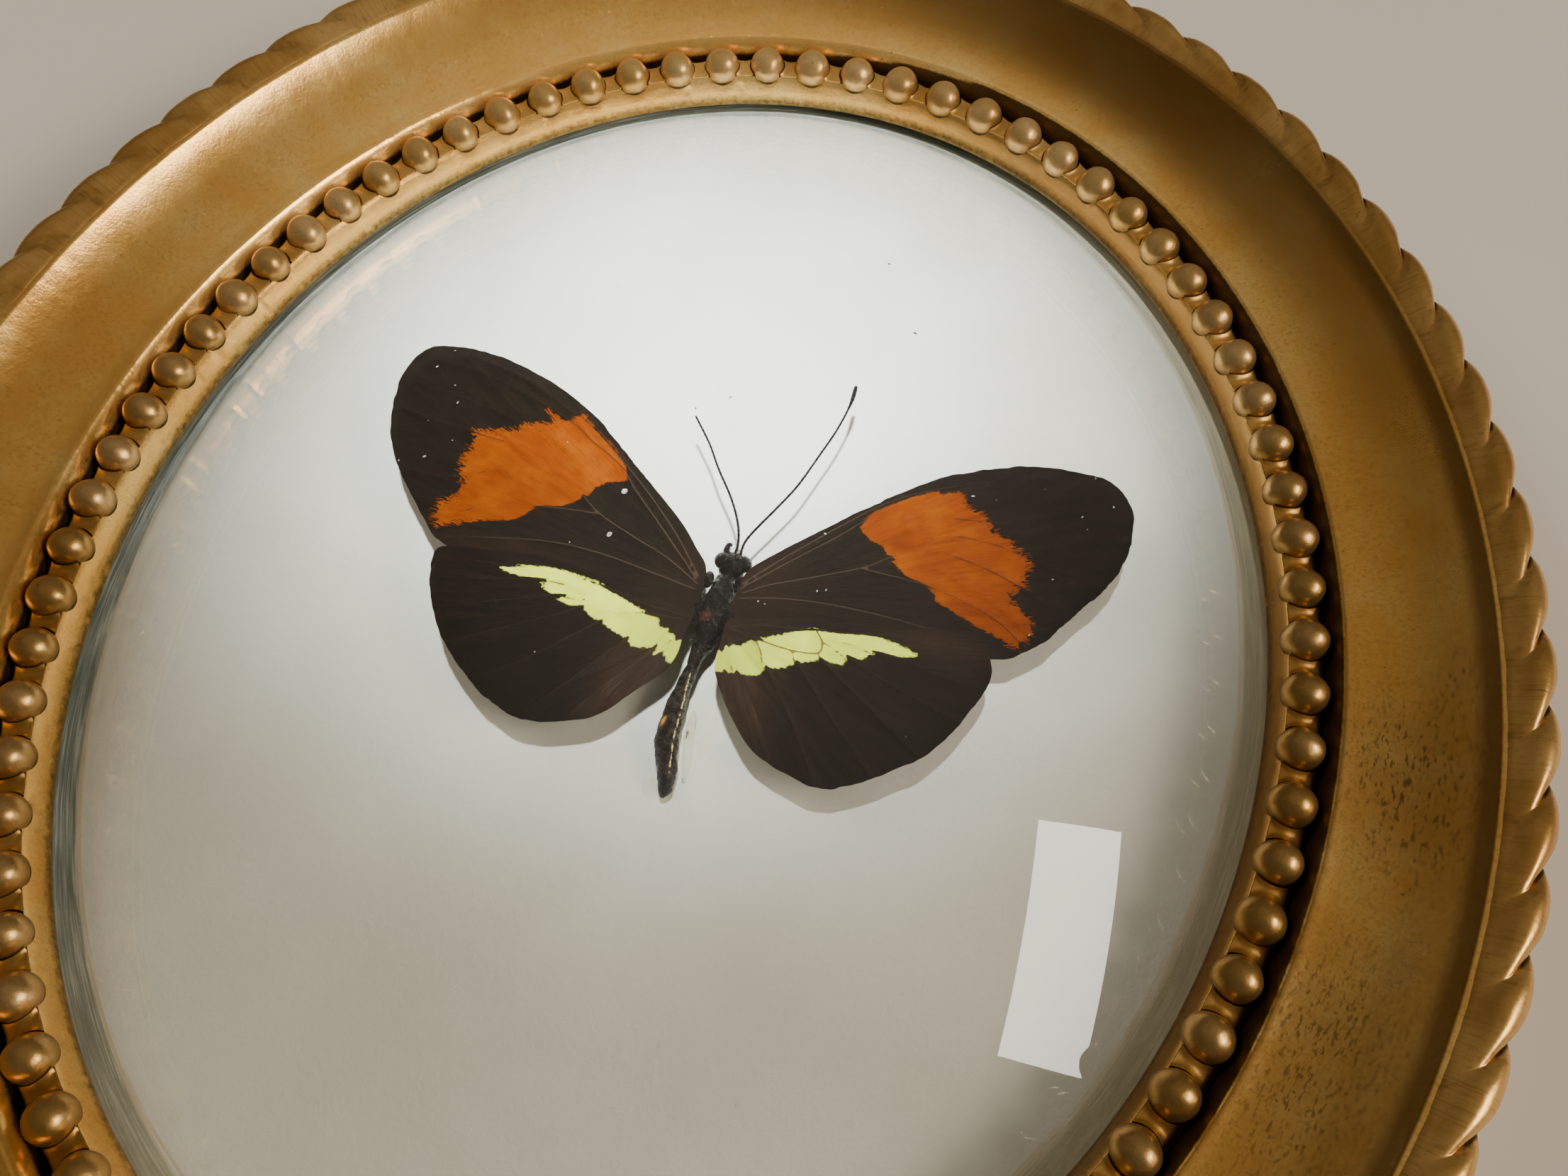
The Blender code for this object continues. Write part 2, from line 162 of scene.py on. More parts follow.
def resample(points, step, closed=False):
    """Points spaced evenly along a line through the given ones."""
    p = np.asarray(points, float)
    if closed:
        p = np.vstack([p, p[:1]])
    length = length_along(p)
    count = max(2, int(round(length[-1] / step)))
    at = np.linspace(0.0, length[-1], count + 1)[:count if closed else None]
    return np.stack([np.interp(at, length, column) for column in p.T], axis=-1)


ANGLES = np.linspace(0.0, TURN, 4001)


def oval_normal(angle):
    normal = np.stack([np.cos(angle) / OVAL_X, np.sin(angle) / OVAL_Y], axis=-1)
    return normal / np.linalg.norm(normal, axis=-1, keepdims=True)


def beside(angle, out):
    """Points at a distance out beyond the bead line, at these angles of its ellipse."""
    line = np.stack([OVAL_X * np.cos(angle), OVAL_Y * np.sin(angle)], axis=-1)
    return line + oval_normal(angle) * np.asarray(out, float)[..., None]


def angle_at(share, out=0.0):
    """The ellipse's angle at a share of the way round, measured on the curve that lies out beyond it."""
    length = length_along(beside(ANGLES, out))
    return np.interp(np.mod(share, 1.0) * length[-1], length, ANGLES)


def length_round(out=0.0):
    return length_along(beside(ANGLES, out))[-1]


# Meshes

def ring_quads(rows, columns, closed_rows=True):
    """Quads between rows of points, where each row is a closed ring of points."""
    last = rows if closed_rows else rows - 1
    i, j = np.meshgrid(np.arange(last), np.arange(columns), indexing="ij")
    here, there = i * columns, (i + 1) % rows * columns
    ahead = (j + 1) % columns
    return np.stack([here + j, here + ahead, there + ahead, there + j], axis=-1).reshape(-1, 4)


def outward(points, faces):
    """The same faces, turned so that they face out of the solid."""
    corners = np.array([(f[0], f[k], f[k + 1]) for f in faces for k in range(1, len(f) - 1)])
    a, b, c = (points[corners[:, k]] for k in range(3))
    return faces if (a * np.cross(b, c)).sum() > 0.0 else [face[::-1] for face in faces]


def closed_rings(points, rows, sides):
    """Faces of a tube of rings whose two ends are closed by a fan about a last point each."""
    faces = ring_quads(rows, sides, closed_rows=False).tolist()
    near, far = rows * sides, rows * sides + 1
    last = (rows - 1) * sides
    for i in range(sides):
        k = (i + 1) % sides
        faces += [[near, k, i], [far, last + i, last + k]]
    return outward(points, faces)


def joined(parts):
    """One list of points and faces from several."""
    points, faces, start = [], [], 0
    for some_points, some_faces in parts:
        points.append(some_points)
        faces += [[k + start for k in face] for face in some_faces]
        start += len(some_points)
    return np.vstack(points), faces


def tube_mesh(route, radii, sides):
    """A closed tube along a route, with one radius for each point."""
    route = np.asarray(route, float)
    ahead = np.gradient(route, axis=0)
    ahead /= np.linalg.norm(ahead, axis=1, keepdims=True)
    across = np.cross(ahead, [0.0, 0.0, 1.0])
    across /= np.maximum(np.linalg.norm(across, axis=1, keepdims=True), 1e-6)
    above = np.cross(across, ahead)
    turn = np.arange(sides) / sides * TURN
    rings = across[:, None, :] * np.cos(turn)[:, None] + above[:, None, :] * np.sin(turn)[:, None]
    points = route[:, None, :] + rings * np.asarray(radii)[:, None, None]
    points = np.vstack([points.reshape(-1, 3), route[:1], route[-1:]])
    return points, closed_rings(points, len(route), sides)


def loft_mesh(sections, steps, sides, creases=()):
    """A closed body through elliptical sections along Y, narrowed at each crease."""
    rows = catmull(sections, steps)
    rows[:, 3:] = np.maximum(rows[:, 3:], 0.05)
    for place in creases:
        rows[:, 3:] *= 1.0 - 0.10 * bell(rows[:, 1:2], place, 0.12)
    turn = np.arange(sides) / sides * TURN
    x, y, z, wide, high = (rows[:, k:k + 1] for k in range(5))
    points = np.dstack(np.broadcast_arrays(x + wide * np.cos(turn), y, z + high * np.sin(turn)))
    points = np.vstack([points.reshape(-1, 3), rows[:1, :3], rows[-1:, :3]])
    return points, closed_rings(points, len(rows), sides)


def ball_mesh(centre, radius, rings, sides):
    polar = np.linspace(0.0, math.pi, rings + 2)[1:-1, None]
    turn = np.arange(sides) / sides * TURN
    ball = np.broadcast_arrays(np.sin(polar) * np.cos(turn), np.sin(polar) * np.sin(turn), np.cos(polar))
    points = np.vstack([np.dstack(ball).reshape(-1, 3), [[0, 0, 1.0], [0, 0, -1.0]]])
    points = points * radius + np.asarray(centre)
    return points, closed_rings(points, rings, sides)


def new_piece(name, points, faces, finish, slot, node=None, sharp=40.0):
    """A smooth mesh object from points in millimetres, in place of a node of the frame or beside it."""
    mesh = bpy.data.meshes.new(name)
    mesh.from_pydata((np.asarray(points, float) * MM).tolist(), [], [list(map(int, f)) for f in faces])
    mesh.validate()
    mesh.shade_smooth()
    mesh.set_sharp_from_angle(angle=math.radians(sharp))
    mesh.materials.append(finish)
    piece = bpy.data.objects.new(name, mesh)
    bpy.context.scene.collection.objects.link(piece)
    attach(piece, "root")
    if node is not None:
        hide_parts(node)
    return piece


def add_values(piece, **named):
    """Stores numbers or places at a piece's points, for its finish to read."""
    for name, values in named.items():
        values = np.asarray(values, np.float32)
        kind, key = ("FLOAT", "value") if values.ndim == 1 else ("FLOAT_VECTOR", "vector")
        piece.data.attributes.new(name, kind, "POINT").data.foreach_set(key, values.ravel())


# Finishes

class Nodes:
    """Short calls that add nodes to one tree."""

    def __init__(self, tree):
        self.tree = tree

    def put(self, socket, value):
        if isinstance(value, bpy.types.NodeSocket):
            self.tree.links.new(value, socket)
        elif socket.type == "RGBA" and len(value) == 3:
            socket.default_value = (*value, 1.0)
        else:
            socket.default_value = value

    def node(self, kind, inputs=(), **settings):
        made = self.tree.nodes.new("ShaderNode" + kind)
        for key, value in settings.items():
            setattr(made, key, value)
        for key, value in dict(inputs).items():
            self.put(made.inputs[key], value)
        return made

    def math(self, operation, a, b, clamp=False):
        return self.node("Math", {0: a, 1: b}, operation=operation, use_clamp=clamp).outputs[0]

    def plus(self, a, b, clamp=False):
        return self.math("ADD", a, b, clamp)

    def times(self, *values):
        made = values[0]
        for value in values[1:]:
            made = self.math("MULTIPLY", made, value)
        return made

    def swing(self, value, size):
        """A value from 0 to 1, spread evenly to both sides of 0."""
        return self.times(self.math("SUBTRACT", value, 0.5), size)

    def step(self, value, low, high, start=0.0, end=1.0):
        """From start below low to end above high, or the reverse where low is the higher one."""
        if low > high:
            low, high, start, end = high, low, end, start
        inputs = {"Value": value, "From Min": low, "From Max": high, "To Min": start, "To Max": end}
        return self.node("MapRange", inputs, interpolation_type="SMOOTHSTEP").outputs["Result"]

    def range(self, value, low, high):
        """A value from 0 to 1, spread from low to high."""
        return self.node("MapRange", {"Value": value, "To Min": low, "To Max": high}).outputs["Result"]


class Finish(Nodes):
    """One material and short calls that add nodes to it."""

    def __init__(self, name, **settings):
        self.material = bpy.data.materials.new(name)
        self.material.use_nodes = True
        super().__init__(self.material.node_tree)
        self.shader = self.tree.nodes["Principled BSDF"]
        for key, value in settings.items():
            self.shader.inputs[key.replace("_", " ")].default_value = value
        self.mm = self.stretched(self.node("TexCoord").outputs["Object"], (1.0 / MM,) * 3)

    def stretched(self, where, amount):
        where = self.mm if where is None else where
        if amount is None:
            return where
        return self.node("VectorMath", {0: where, 1: amount}, operation="MULTIPLY").outputs[0]

    def value(self, name):
        return self.node("Attribute", attribute_name=name).outputs["Fac"]

    def place(self, name):
        return self.node("Attribute", attribute_name=name).outputs["Vector"]

    def grain(self, size, detail=2.0, rough=0.5, where=None, stretch=None, warp=0.0):
        """Noise from 0 to 1 in lumps of about this size in millimetres."""
        inputs = {"Vector": self.stretched(where, stretch), "Scale": 1.0 / size, "Detail": detail}
        inputs.update({"Roughness": rough, "Distortion": warp})
        return self.node("TexNoise", inputs).outputs["Fac"]

    def dots(self, size, where=None, stretch=None):
        """Distance to the nearest of scattered points, in cells of this size."""
        inputs = {"Vector": self.stretched(where, stretch), "Scale": 1.0 / size}
        return self.node("TexVoronoi", inputs).outputs["Distance"]

    def mix(self, share, a, b):
        return self.node("Mix", {0: share, 6: a, 7: b}, data_type="RGBA").outputs[2]

    def bump(self, height, depth, strength=1.0, under=None):
        """Bump from a height of 0 to 1, with the full depth in millimetres."""
        inputs = {"Strength": strength, "Distance": depth * MM, "Height": height}
        if under is not None:
            inputs["Normal"] = under
        return self.node("Bump", inputs).outputs["Normal"]

    def set(self, **inputs):
        for key, value in inputs.items():
            self.put(self.shader.inputs[key.replace("_", " ")], value)
        return self.material


GOLD_DARK = (0.045, 0.018, 0.005)
GOLD_DEEP = (0.46, 0.195, 0.030)
GOLD = (0.88, 0.450, 0.104)
GOLD_LIGHT = (0.95, 0.57, 0.17)
BEAD_GOLD = (0.50, 0.280, 0.080)
BEAD_WORN = (0.68, 0.42, 0.165)
PAD_GOLD = (0.48, 0.225, 0.048)
PAD_WORN = (0.66, 0.36, 0.095)
ROPE_GOLD = (0.64, 0.325, 0.085)
ROPE_WORN = (0.84, 0.49, 0.155)
GOLD_BROWN = (0.16, 0.066, 0.014)
STAIN_DARK = (0.10, 0.048, 0.014)
STAIN_HAZE = (0.20, 0.095, 0.03)


def gilt(name, tone=GOLD, worn=GOLD_LIGHT, rough=0.25, metal=0.77):
    """Old bronze gilding: satin, clouded, with fine dark flecks, grime and painted shade in the hollows, and
    painted shade where its shade value says.
    """
    f = Finish(name, Metallic=metal)
    track = f.place("track")
    hollow = f.value("hollow")
    stain = f.value("stain")
    cloud = f.grain(9.0, 4.0, 0.6)
    color = f.mix(f.step(cloud, 0.38, 0.68), tone, worn)
    brushed = f.grain(1.6, 3.0, 0.55, track, (0.45, 2.6, 1.0))
    color = f.mix(f.times(f.step(brushed, 0.45, 0.8), 0.25), color, worn)
    grit = f.grain(0.5, 3.0, 0.65)
    color = f.mix(f.times(f.step(grit, 0.52, 0.75), 0.30), color, GOLD_DEEP)
    dashes = f.grain(0.26, 3.0, 0.75, track, (1.5, 0.65, 1.0))
    color = f.mix(f.times(f.step(dashes, 0.48, 0.70), 0.42), color, GOLD_DEEP)
    color = f.mix(f.value("shade"), color, GOLD_BROWN)
    flecks = f.step(f.dots(1.1, track, (1.3, 0.7, 1.0)), 0.11, 0.05)
    flecks = f.times(flecks, f.step(f.grain(5.0, 2.0), 0.54, 0.66))
    color = f.mix(f.times(flecks, 0.6), color, GOLD_DARK)
    spots = f.step(f.grain(0.46, 2.0, 0.6, track, (0.70, 1.7, 1.0)), 0.53, 0.66)
    color = f.mix(f.times(stain, spots, 0.72), color, STAIN_DARK)
    color = f.mix(f.times(stain, f.grain(2.6, 3.0, 0.6), 0.55), color, STAIN_HAZE)
    # Grime and painted shade: darker where the piece's hollow value is high.
    grime_and_shade = f.plus(hollow, f.swing(grit, 0.5), clamp=True)
    color = f.mix(f.times(f.step(grime_and_shade, 0.30, 0.85), 0.93), color, GOLD_DARK)
    shine = f.plus(f.plus(rough, f.swing(cloud, 0.16)), f.times(hollow, 0.22), clamp=True)
    fine = f.bump(f.grain(0.28, 3.0, 0.6), 0.018, 0.8)
    coarse = f.bump(f.grain(2.2, 3.0, 0.55), 0.035, 0.8, under=fine)
    return f.set(Base_Color=color, Roughness=shine, Normal=coarse)


def clear_glass():
    """Old thin-edged glass, a trace green, with painted reflections in its rim: a streaked steel-blue band
    that turns brown on one side, and a broken gold-brown line mirroring the frame.
    """
    f = Finish("clear_glass_finish", Roughness=0.0, IOR=1.5, Transmission_Weight=1.0)
    ripple = f.bump(f.grain(40.0, 1.0, 0.4), 0.02, 0.5)
    smear = f.step(f.grain(9.0, 4.0, 0.65, stretch=(1.0, 0.45, 1.0)), 0.60, 0.78)
    inward = f.value("inward")
    line = f.grain(1.0, 3.0, 0.6, f.place("edge"), (0.16, 4.5, 1.0))
    # Painted reflection: the edge band is steel-blue and streaked on one side and brown on the other, with a
    # broken gold-brown line of the mirrored frame just inward of it.
    steel = f.mix(f.step(line, 0.42, 0.66), (0.27, 0.34, 0.36), (0.85, 0.92, 0.93))
    rim = f.mix(f.value("steely"), (0.74, 0.66, 0.50), steel)
    color = f.mix(f.step(inward, 1.90, 1.50), (0.985, 0.992, 0.985), rim)
    painted_frame_reflection = f.times(f.step(inward, 1.60, 1.85), f.step(inward, 2.30, 2.05), f.step(line, 0.65, 0.45))
    color = f.mix(f.times(painted_frame_reflection, 0.6), color, (0.80, 0.60, 0.36))
    return f.set(Base_Color=color, Roughness=f.times(smear, 0.02), Normal=ripple)


def white_paper():
    """Thick white drawing paper with a felt grain, faintly foxed."""
    f = Finish("white_paper_finish", Roughness=0.92, Specular_IOR_Level=0.25)
    tone = f.step(f.grain(17.0, 3.0, 0.55), 0.35, 0.7)
    color = f.mix(tone, (0.525, 0.487, 0.385), (0.580, 0.543, 0.442))
    fibre = f.step(f.grain(0.9, 3.0, 0.65, warp=1.0), 0.60, 0.85)
    color = f.mix(f.times(fibre, 0.22), color, (0.40, 0.375, 0.31))
    color = f.mix(f.times(f.value("soaked"), 0.75), color, (0.56, 0.55, 0.43))
    fox = f.times(f.step(f.dots(4.2), 0.055, 0.03), f.step(f.grain(14.0, 1.0), 0.5, 0.62))
    color = f.mix(f.times(fox, 0.5), color, (0.42, 0.36, 0.28))
    felt = f.bump(f.grain(0.62, 3.0, 0.6, warp=0.6), 0.075, 0.9)
    return f.set(Base_Color=color, Normal=f.bump(f.grain(2.4, 2.0, 0.5), 0.10, 0.9, under=felt))


def brown_board():
    f = Finish("brown_board_finish", Roughness=0.85)
    fibres = f.grain(0.8, 4.0, 0.7, stretch=(0.18, 1.4, 1.0))
    color = f.mix(f.step(fibres, 0.3, 0.75), (0.27, 0.165, 0.085), (0.42, 0.28, 0.16))
    color = f.mix(f.times(f.step(f.grain(14.0, 4.0, 0.6), 0.5, 0.75), 0.5), color, (0.20, 0.12, 0.06))
    specks = f.step(f.dots(1.4), 0.14, 0.07)
    color = f.mix(f.times(specks, 0.5), color, (0.12, 0.075, 0.04))
    return f.set(Base_Color=color, Normal=f.bump(fibres, 0.06, 0.8))


def old_metal(name, tone, tarnish, rough):
    """Cheap sheet metal, tarnished in clouds and scratched along its length."""
    f = Finish(name, Metallic=0.90)
    cloud = f.grain(2.6, 4.0, 0.65)
    color = f.mix(f.step(cloud, 0.42, 0.7), tone, tarnish)
    scratch = f.grain(0.22, 2.0, 0.6, stretch=(0.06, 1.0, 1.0))
    shine = f.plus(rough, f.swing(cloud, 0.3), clamp=True)
    return f.set(Base_Color=color, Roughness=shine, Normal=f.bump(scratch, 0.02, 0.7))


WING_BLACK = (0.0044, 0.0030, 0.0017)
WING_BROWN = (0.018, 0.0090, 0.0048)
FOLD_BROWN = (0.062, 0.034, 0.019)
VEIN_BROWN = (0.034, 0.021, 0.0115)
ORANGE = (0.136, 0.0235, 0.0001)
ORANGE_DEEP = (0.062, 0.0080, 0.0001)
ORANGE_LIGHT = (0.200, 0.0460, 0.0002)
PALE_GREEN = (0.44, 0.475, 0.036)
PALE_DEEP = (0.29, 0.31, 0.030)
PALE_LIGHT = (0.57, 0.62, 0.080)
SHEEN = {"Sheen_Weight": 0.04, "Sheen_Roughness": 0.45, "Sheen_Tint": (0.55, 0.42, 0.34, 1.0)}


def wing_scales(name, patch, patch_deep, patch_light, ink, streaky):
    """Velvet brown-black scales with one coloured patch that ends in single rows of scales."""
    f = Finish(name, Roughness=0.62, Specular_IOR_Level=0.24, **SHEEN)
    ray = f.place("ray")
    brown = f.value("brown")
    vein = f.value("vein")
    within = f.value("patch")
    streak = f.grain(1.0, 4.0, 0.62, ray, (2.6, 0.22, 1.0))
    hair_line = f.grain(1.0, 3.0, 0.6, ray, (7.0, 0.30, 1.0))
    dust = f.grain(0.30, 3.0, 0.7)
    color = f.mix(f.plus(brown, f.swing(streak, 0.9), clamp=True), WING_BLACK, WING_BROWN)
    folds = f.times(f.step(hair_line, 0.50, 0.72), f.step(brown, 0.28, 0.95))
    color = f.mix(f.times(folds, 0.55), color, FOLD_BROWN)
    loose = f.times(f.step(dust, 0.66, 0.80), f.step(f.grain(2.5, 2.0), 0.42, 0.62))
    color = f.mix(f.times(loose, 0.22), color, VEIN_BROWN)
    wide = f.step(f.plus(vein, f.swing(dust, 0.04)), 0.075, 0.020)
    color = f.mix(f.times(wide, f.value("vein_light")), color, VEIN_BROWN)
    row = f.grain(0.20, 1.0, 0.6, ray, (3.2, 0.32, 1.0))
    tongue = f.grain(0.9, 2.0, 0.6, ray, (2.2, 0.35, 1.0))
    loose_edge = f.range(f.value("loose"), 0.28, 2.5)
    teeth = f.plus(f.swing(row, loose_edge), f.times(f.swing(tongue, loose_edge), 0.55))
    notch = f.times(f.step(vein, 0.30, 0.0), f.step(within, 0.9, 0.1), 0.30)
    edge = f.plus(f.plus(f.math("SUBTRACT", within, notch), teeth), f.swing(dust, 0.55))
    fill = f.mix(f.times(f.step(streak, 0.38, 0.70), streaky), patch, patch_deep)
    fill = f.mix(f.times(f.step(f.grain(3.0, 3.0, 0.6), 0.42, 0.72), 0.5), fill, patch_light)
    fill = f.mix(f.times(f.step(row, 0.56, 0.76), 0.6, streaky), fill, patch_deep)
    fill = f.mix(f.times(f.step(hair_line, 0.54, 0.70), 0.9, streaky), fill, patch_deep)
    specks = f.times(f.step(f.dots(0.9), 0.085, 0.045), f.step(f.grain(2.2, 2.0), 0.50, 0.60))
    fill = f.mix(f.times(specks, 0.55), fill, ink)
    # Duller orange on the forewings. On the hindwings, painted shade over the folded inner end of the bar.
    fill = f.mix(f.times(f.value("patch_dull_and_shade"), 0.8), fill, patch_deep)
    inked = f.step(f.plus(f.value("ink"), f.swing(dust, 0.10)), 0.095, 0.040)
    fill = f.mix(f.times(inked, 0.9), fill, ink)
    weave = f.bump(row, 0.05, 0.7)
    pleats = f.bump(streak, 0.16 * streaky, 0.6, under=weave)
    return f.set(Base_Color=f.mix(f.step(edge, -0.07, 0.08), color, fill), Normal=pleats)


def insect_body():
    """Dark cuticle under thin hairs: glossy, reddish in places, golden along one side of the abdomen."""
    f = Finish("insect_body_finish", Specular_IOR_Level=0.6)
    lumps = f.grain(0.42, 4.0, 0.7)
    tone = f.mix(f.step(lumps, 0.35, 0.7), (0.0018, 0.0014, 0.0012), (0.0065, 0.0048, 0.0040))
    worn = f.step(f.grain(0.5, 4.0, 0.7), 0.38, 0.7)
    worn = f.mix(worn, (0.0055, 0.0037, 0.0026), (0.027, 0.0185, 0.0120))
    color = f.mix(f.value("rear"), tone, worn)
    color = f.mix(f.value("red_spot"), color, (0.065, 0.018, 0.009))
    broken = f.plus(f.value("gold_line"), f.swing(f.grain(0.45, 3.0, 0.7), 2.2))
    color = f.mix(f.step(broken, 0.62, 0.85), color, (0.60, 0.45, 0.14))
    color = f.mix(f.value("orange_spot"), color, (0.62, 0.26, 0.035))
    color = f.mix(f.value("tip"), color, (0.009, 0.006, 0.006))
    shine = f.range(f.grain(0.5, 3.0, 0.7), 0.05, 0.50)
    relief = f.bump(f.grain(0.16, 3.0, 0.7), 0.11, 0.9)
    relief = f.bump(lumps, 0.30, 0.9, under=relief)
    return f.set(Base_Color=color, Roughness=shine, Normal=relief)


def dried_glue():
    """Clear dried glue, faintly yellow, with small waves."""
    f = Finish("dried_glue_finish", IOR=1.47, Transmission_Weight=1.0)
    wave = f.bump(f.grain(0.7, 3.0, 0.6), 0.12, 0.8)
    tone = f.mix(f.step(f.grain(1.2, 2.0), 0.4, 0.7), (0.97, 0.95, 0.86), (0.90, 0.86, 0.70))
    return f.set(Base_Color=tone, Roughness=f.range(f.grain(0.5, 2.0), 0.04, 0.22), Normal=wave)


def mottled(name, size, edges, dark, light, rough):
    """Two tones in soft spots of this size, for hairs and specks."""
    f = Finish(name, Roughness=rough)
    return f.set(Base_Color=f.mix(f.step(f.grain(size, 2.0), *edges), dark, light))


# The moulding

def moulding_profile():
    """The runs of the profile, from the back round the inside and over the top."""
    inside = [BACK, RABBET, LIP_UNDERSIDE, catmull(LIP, 1), CHANNEL, GROOVE]
    return np.vstack(inside + [catmull(COVE, 1), FILLET, OUTER_SIDE])


def stains(share, out):
    """How much the gilding is stained at a share of the way round and a distance out."""
    places = [    # place in beads, width in beads, distance out, width, amount
        (51.0, 1.0, 6.5, 4.2, 1.0), (52.2, 0.8, 7.5, 3.6, 0.5), (55.0, 1.2, 5.5, 4.5, 0.75),
        (56.6, 1.0, 6.5, 3.5, 0.55), (49.6, 0.5, 10.0, 1.0, 0.6), (47.0, 5.0, 13.4, 0.6, 0.8),
        (57.0, 6.0, 13.4, 0.6, 0.7), (36.0, 6.0, 13.6, 0.5, 0.6), (12.0, 4.0, 1.9, 0.5, 0.9),
        (66.0, 6.0, 6.5, 4.0, 0.4), (70.5, 2.0, 3.5, 2.5, 0.5), (28.0, 3.0, 6.5, 4.5, 0.15),
    ]
    total = 0.0
    for bead, wide, middle_out, wide_out, amount in places:
        off = np.mod((BEAD_START - share) * BEAD_COUNT - bead + BEAD_COUNT / 2, BEAD_COUNT) - BEAD_COUNT / 2
        total = total + amount * bell(off, 0.0, wide) * bell(out, middle_out, wide_out)
    return np.clip(total, 0.0, 1.0)


def build_moulding():
    """The swept moulding, with an open channel for the beads."""
    profile = moulding_profile()
    count = BEAD_COUNT * STEPS_PER_BEAD
    share = BEAD_START - np.arange(count) / count
    angle = angle_at(share)
    out = np.broadcast_to(profile[:, 0], (count, len(profile)))
    height = np.broadcast_to(profile[:, 1], out.shape)

    def surface():
        return np.dstack([beside(angle[:, None], out), height]).reshape(-1, 3)

    points = surface()
    lumps = roughness_of(points, 6.0, 1.0) * 0.05 + roughness_of(points, 1.3, 2.0) * 0.022
    worn = ease(0.35, 0.7, roughness_of(points, 1.1, 3.0).reshape(out.shape))
    lip_edge = bell(out, -1.9, 0.35) * (height > 7.7)
    ridge = bell(out, 2.7, 0.25) * (height > 11.5)
    visible = (height > 8.0) & (out < 14.6)
    out = out + visible * (0.16 * lip_edge + 0.02 * ridge) * worn
    height = height + visible * (lumps.reshape(out.shape) - (0.14 * lip_edge + 0.04 * ridge) * worn)
    points = surface()
    quads = outward(points, ring_quads(count, len(profile)))
    finish = gilt("gilt_moulding")
    piece = new_piece("oval_moulding", points, quads, finish, "antique_gilt", "frame", sharp=50.0)
    x, y = points[:, 0].reshape(out.shape), points[:, 1].reshape(out.shape)
    front = height > 7.7
    # Painted shade: towards +X the inner faces turn away from the light, so they are darkened.
    away_from_light = ease(SHADE_FROM_X, SHADE_TO_X, x)
    wall = ease(2.10 + 0.50 * away_from_light, 1.92 + 0.60 * away_from_light, out)
    # Darker in the channel and along thin lines under the lip, at the cove's top edge and at the foot of the
    # rope: grime and painted shade. The painted shade reaches up the channel wall on the side away from the
    # light.
    hollow = ease(-1.16, -1.05, out) * wall * (height > 8.0)
    hollow = np.maximum(hollow, 0.55 * bell(out, 12.02, 0.10))
    hollow = np.maximum(hollow, 0.60 * bell(out, -2.05, 0.16) * (height > 7.5))
    hollow = np.maximum(hollow, 0.7 * bell(out, 13.5, 0.35))
    # Painted shade on the lip's inner face and on the outer cove on the side away from the light. Painted
    # shade and some dirt on the cove about SHADED_SIDE.
    far_right = bell(np.degrees(np.arctan2(y, x)), SHADED_SIDE, SHADED_WIDTH)
    shade = 0.78 * away_from_light * ease(-1.15, -1.35, out) + 0.84 * far_right * ease(2.5, 8.0, out)
    shade = np.maximum(shade, 0.75 * away_from_light * ease(10.4, 11.5, out) * (out < 12.03)) * front
    along = np.broadcast_to((BEAD_START - share[:, None]) * length_round(), out.shape)
    add_values(
        piece, hollow=np.clip(hollow, 0.0, 1.0).ravel(), stain=stains(share[:, None], out).ravel(),
        shade=shade.ravel(), track=np.dstack([along, out, height]).reshape(-1, 3),
    )


def build_pads():
    """The pads between the beads: a flat facet beside the lip, a neck that rises to each bead, and an end."""
    rows, columns = 17, 11
    out = np.linspace(PAD_FROM, PAD_TO, rows)[:, None]
    side = np.linspace(-1.0, 1.0, columns)[None, :]
    round_bead = np.sqrt(np.maximum(PAD_ROUND_BEAD ** 2 - out ** 2, 0.0))
    half = length_round() / BEAD_COUNT / 2 - BEAD_SHORTER * round_bead
    facet = ease(0.0, -0.16, out - PAD_FROM - 0.95 * (1.0 - np.abs(side)))
    neck = PAD_NECK + 0.26 * side ** 2 - 0.20 * ease(-0.2, 1.3, out)
    level = neck * (1.0 - facet) + (PAD_FACET - 0.05 * (out - PAD_FROM)) * facet
    level = level - 0.25 * ease(PAD_TO - 0.25, PAD_TO, out)
    # Grime and painted shade: each pad darkens where it meets a bead and at its outer end.
    dark = np.maximum(0.75 * ease(PAD_TO - 0.35, PAD_TO, out), 0.8 * ease(0.82, 1.0, np.abs(side)))
    place = np.arange(rows * columns).reshape(rows, columns)
    rim = np.concatenate([place[0], place[1:, -1], place[-1, -2::-1], place[-2:0:-1, 0]])
    foot = place.size + np.arange(len(rim))
    grid = ring_quads(rows, columns, closed_rows=False).reshape(rows - 1, columns, 4)[:, :-1].reshape(-1, 4)
    walls = np.column_stack([np.roll(rim, 1), rim, foot, np.roll(foot, 1)])
    faces = grid.tolist() + walls.tolist() + [foot.tolist()]
    parts, track = [], []
    for pad in range(BEAD_COUNT):
        share = BEAD_START - (pad + 0.5) / BEAD_COUNT - half * side / length_round()
        top = np.dstack([beside(angle_at(share), out), level]).reshape(-1, 3)
        top[:, 2] += roughness_of(top, 0.9, 9.0) * 0.05
        low = np.column_stack([top[rim, :2], np.full(len(rim), PAD_BOTTOM)])
        solid = np.vstack([top, low])
        parts.append((solid, outward(solid - solid[0], faces)))
        track += [top + [pad * 3.1, 0.0, 0.0], low]
    finish = gilt("gilt_pads", PAD_GOLD, PAD_WORN, 0.38, 0.80)
    piece = new_piece("bead_pads", *joined(parts), finish, "antique_gilt", "frame", sharp=32.0)
    hollow = np.tile(np.append(dark.ravel(), np.ones(len(rim))), BEAD_COUNT)
    add_values(piece, hollow=hollow, track=np.vstack(track))


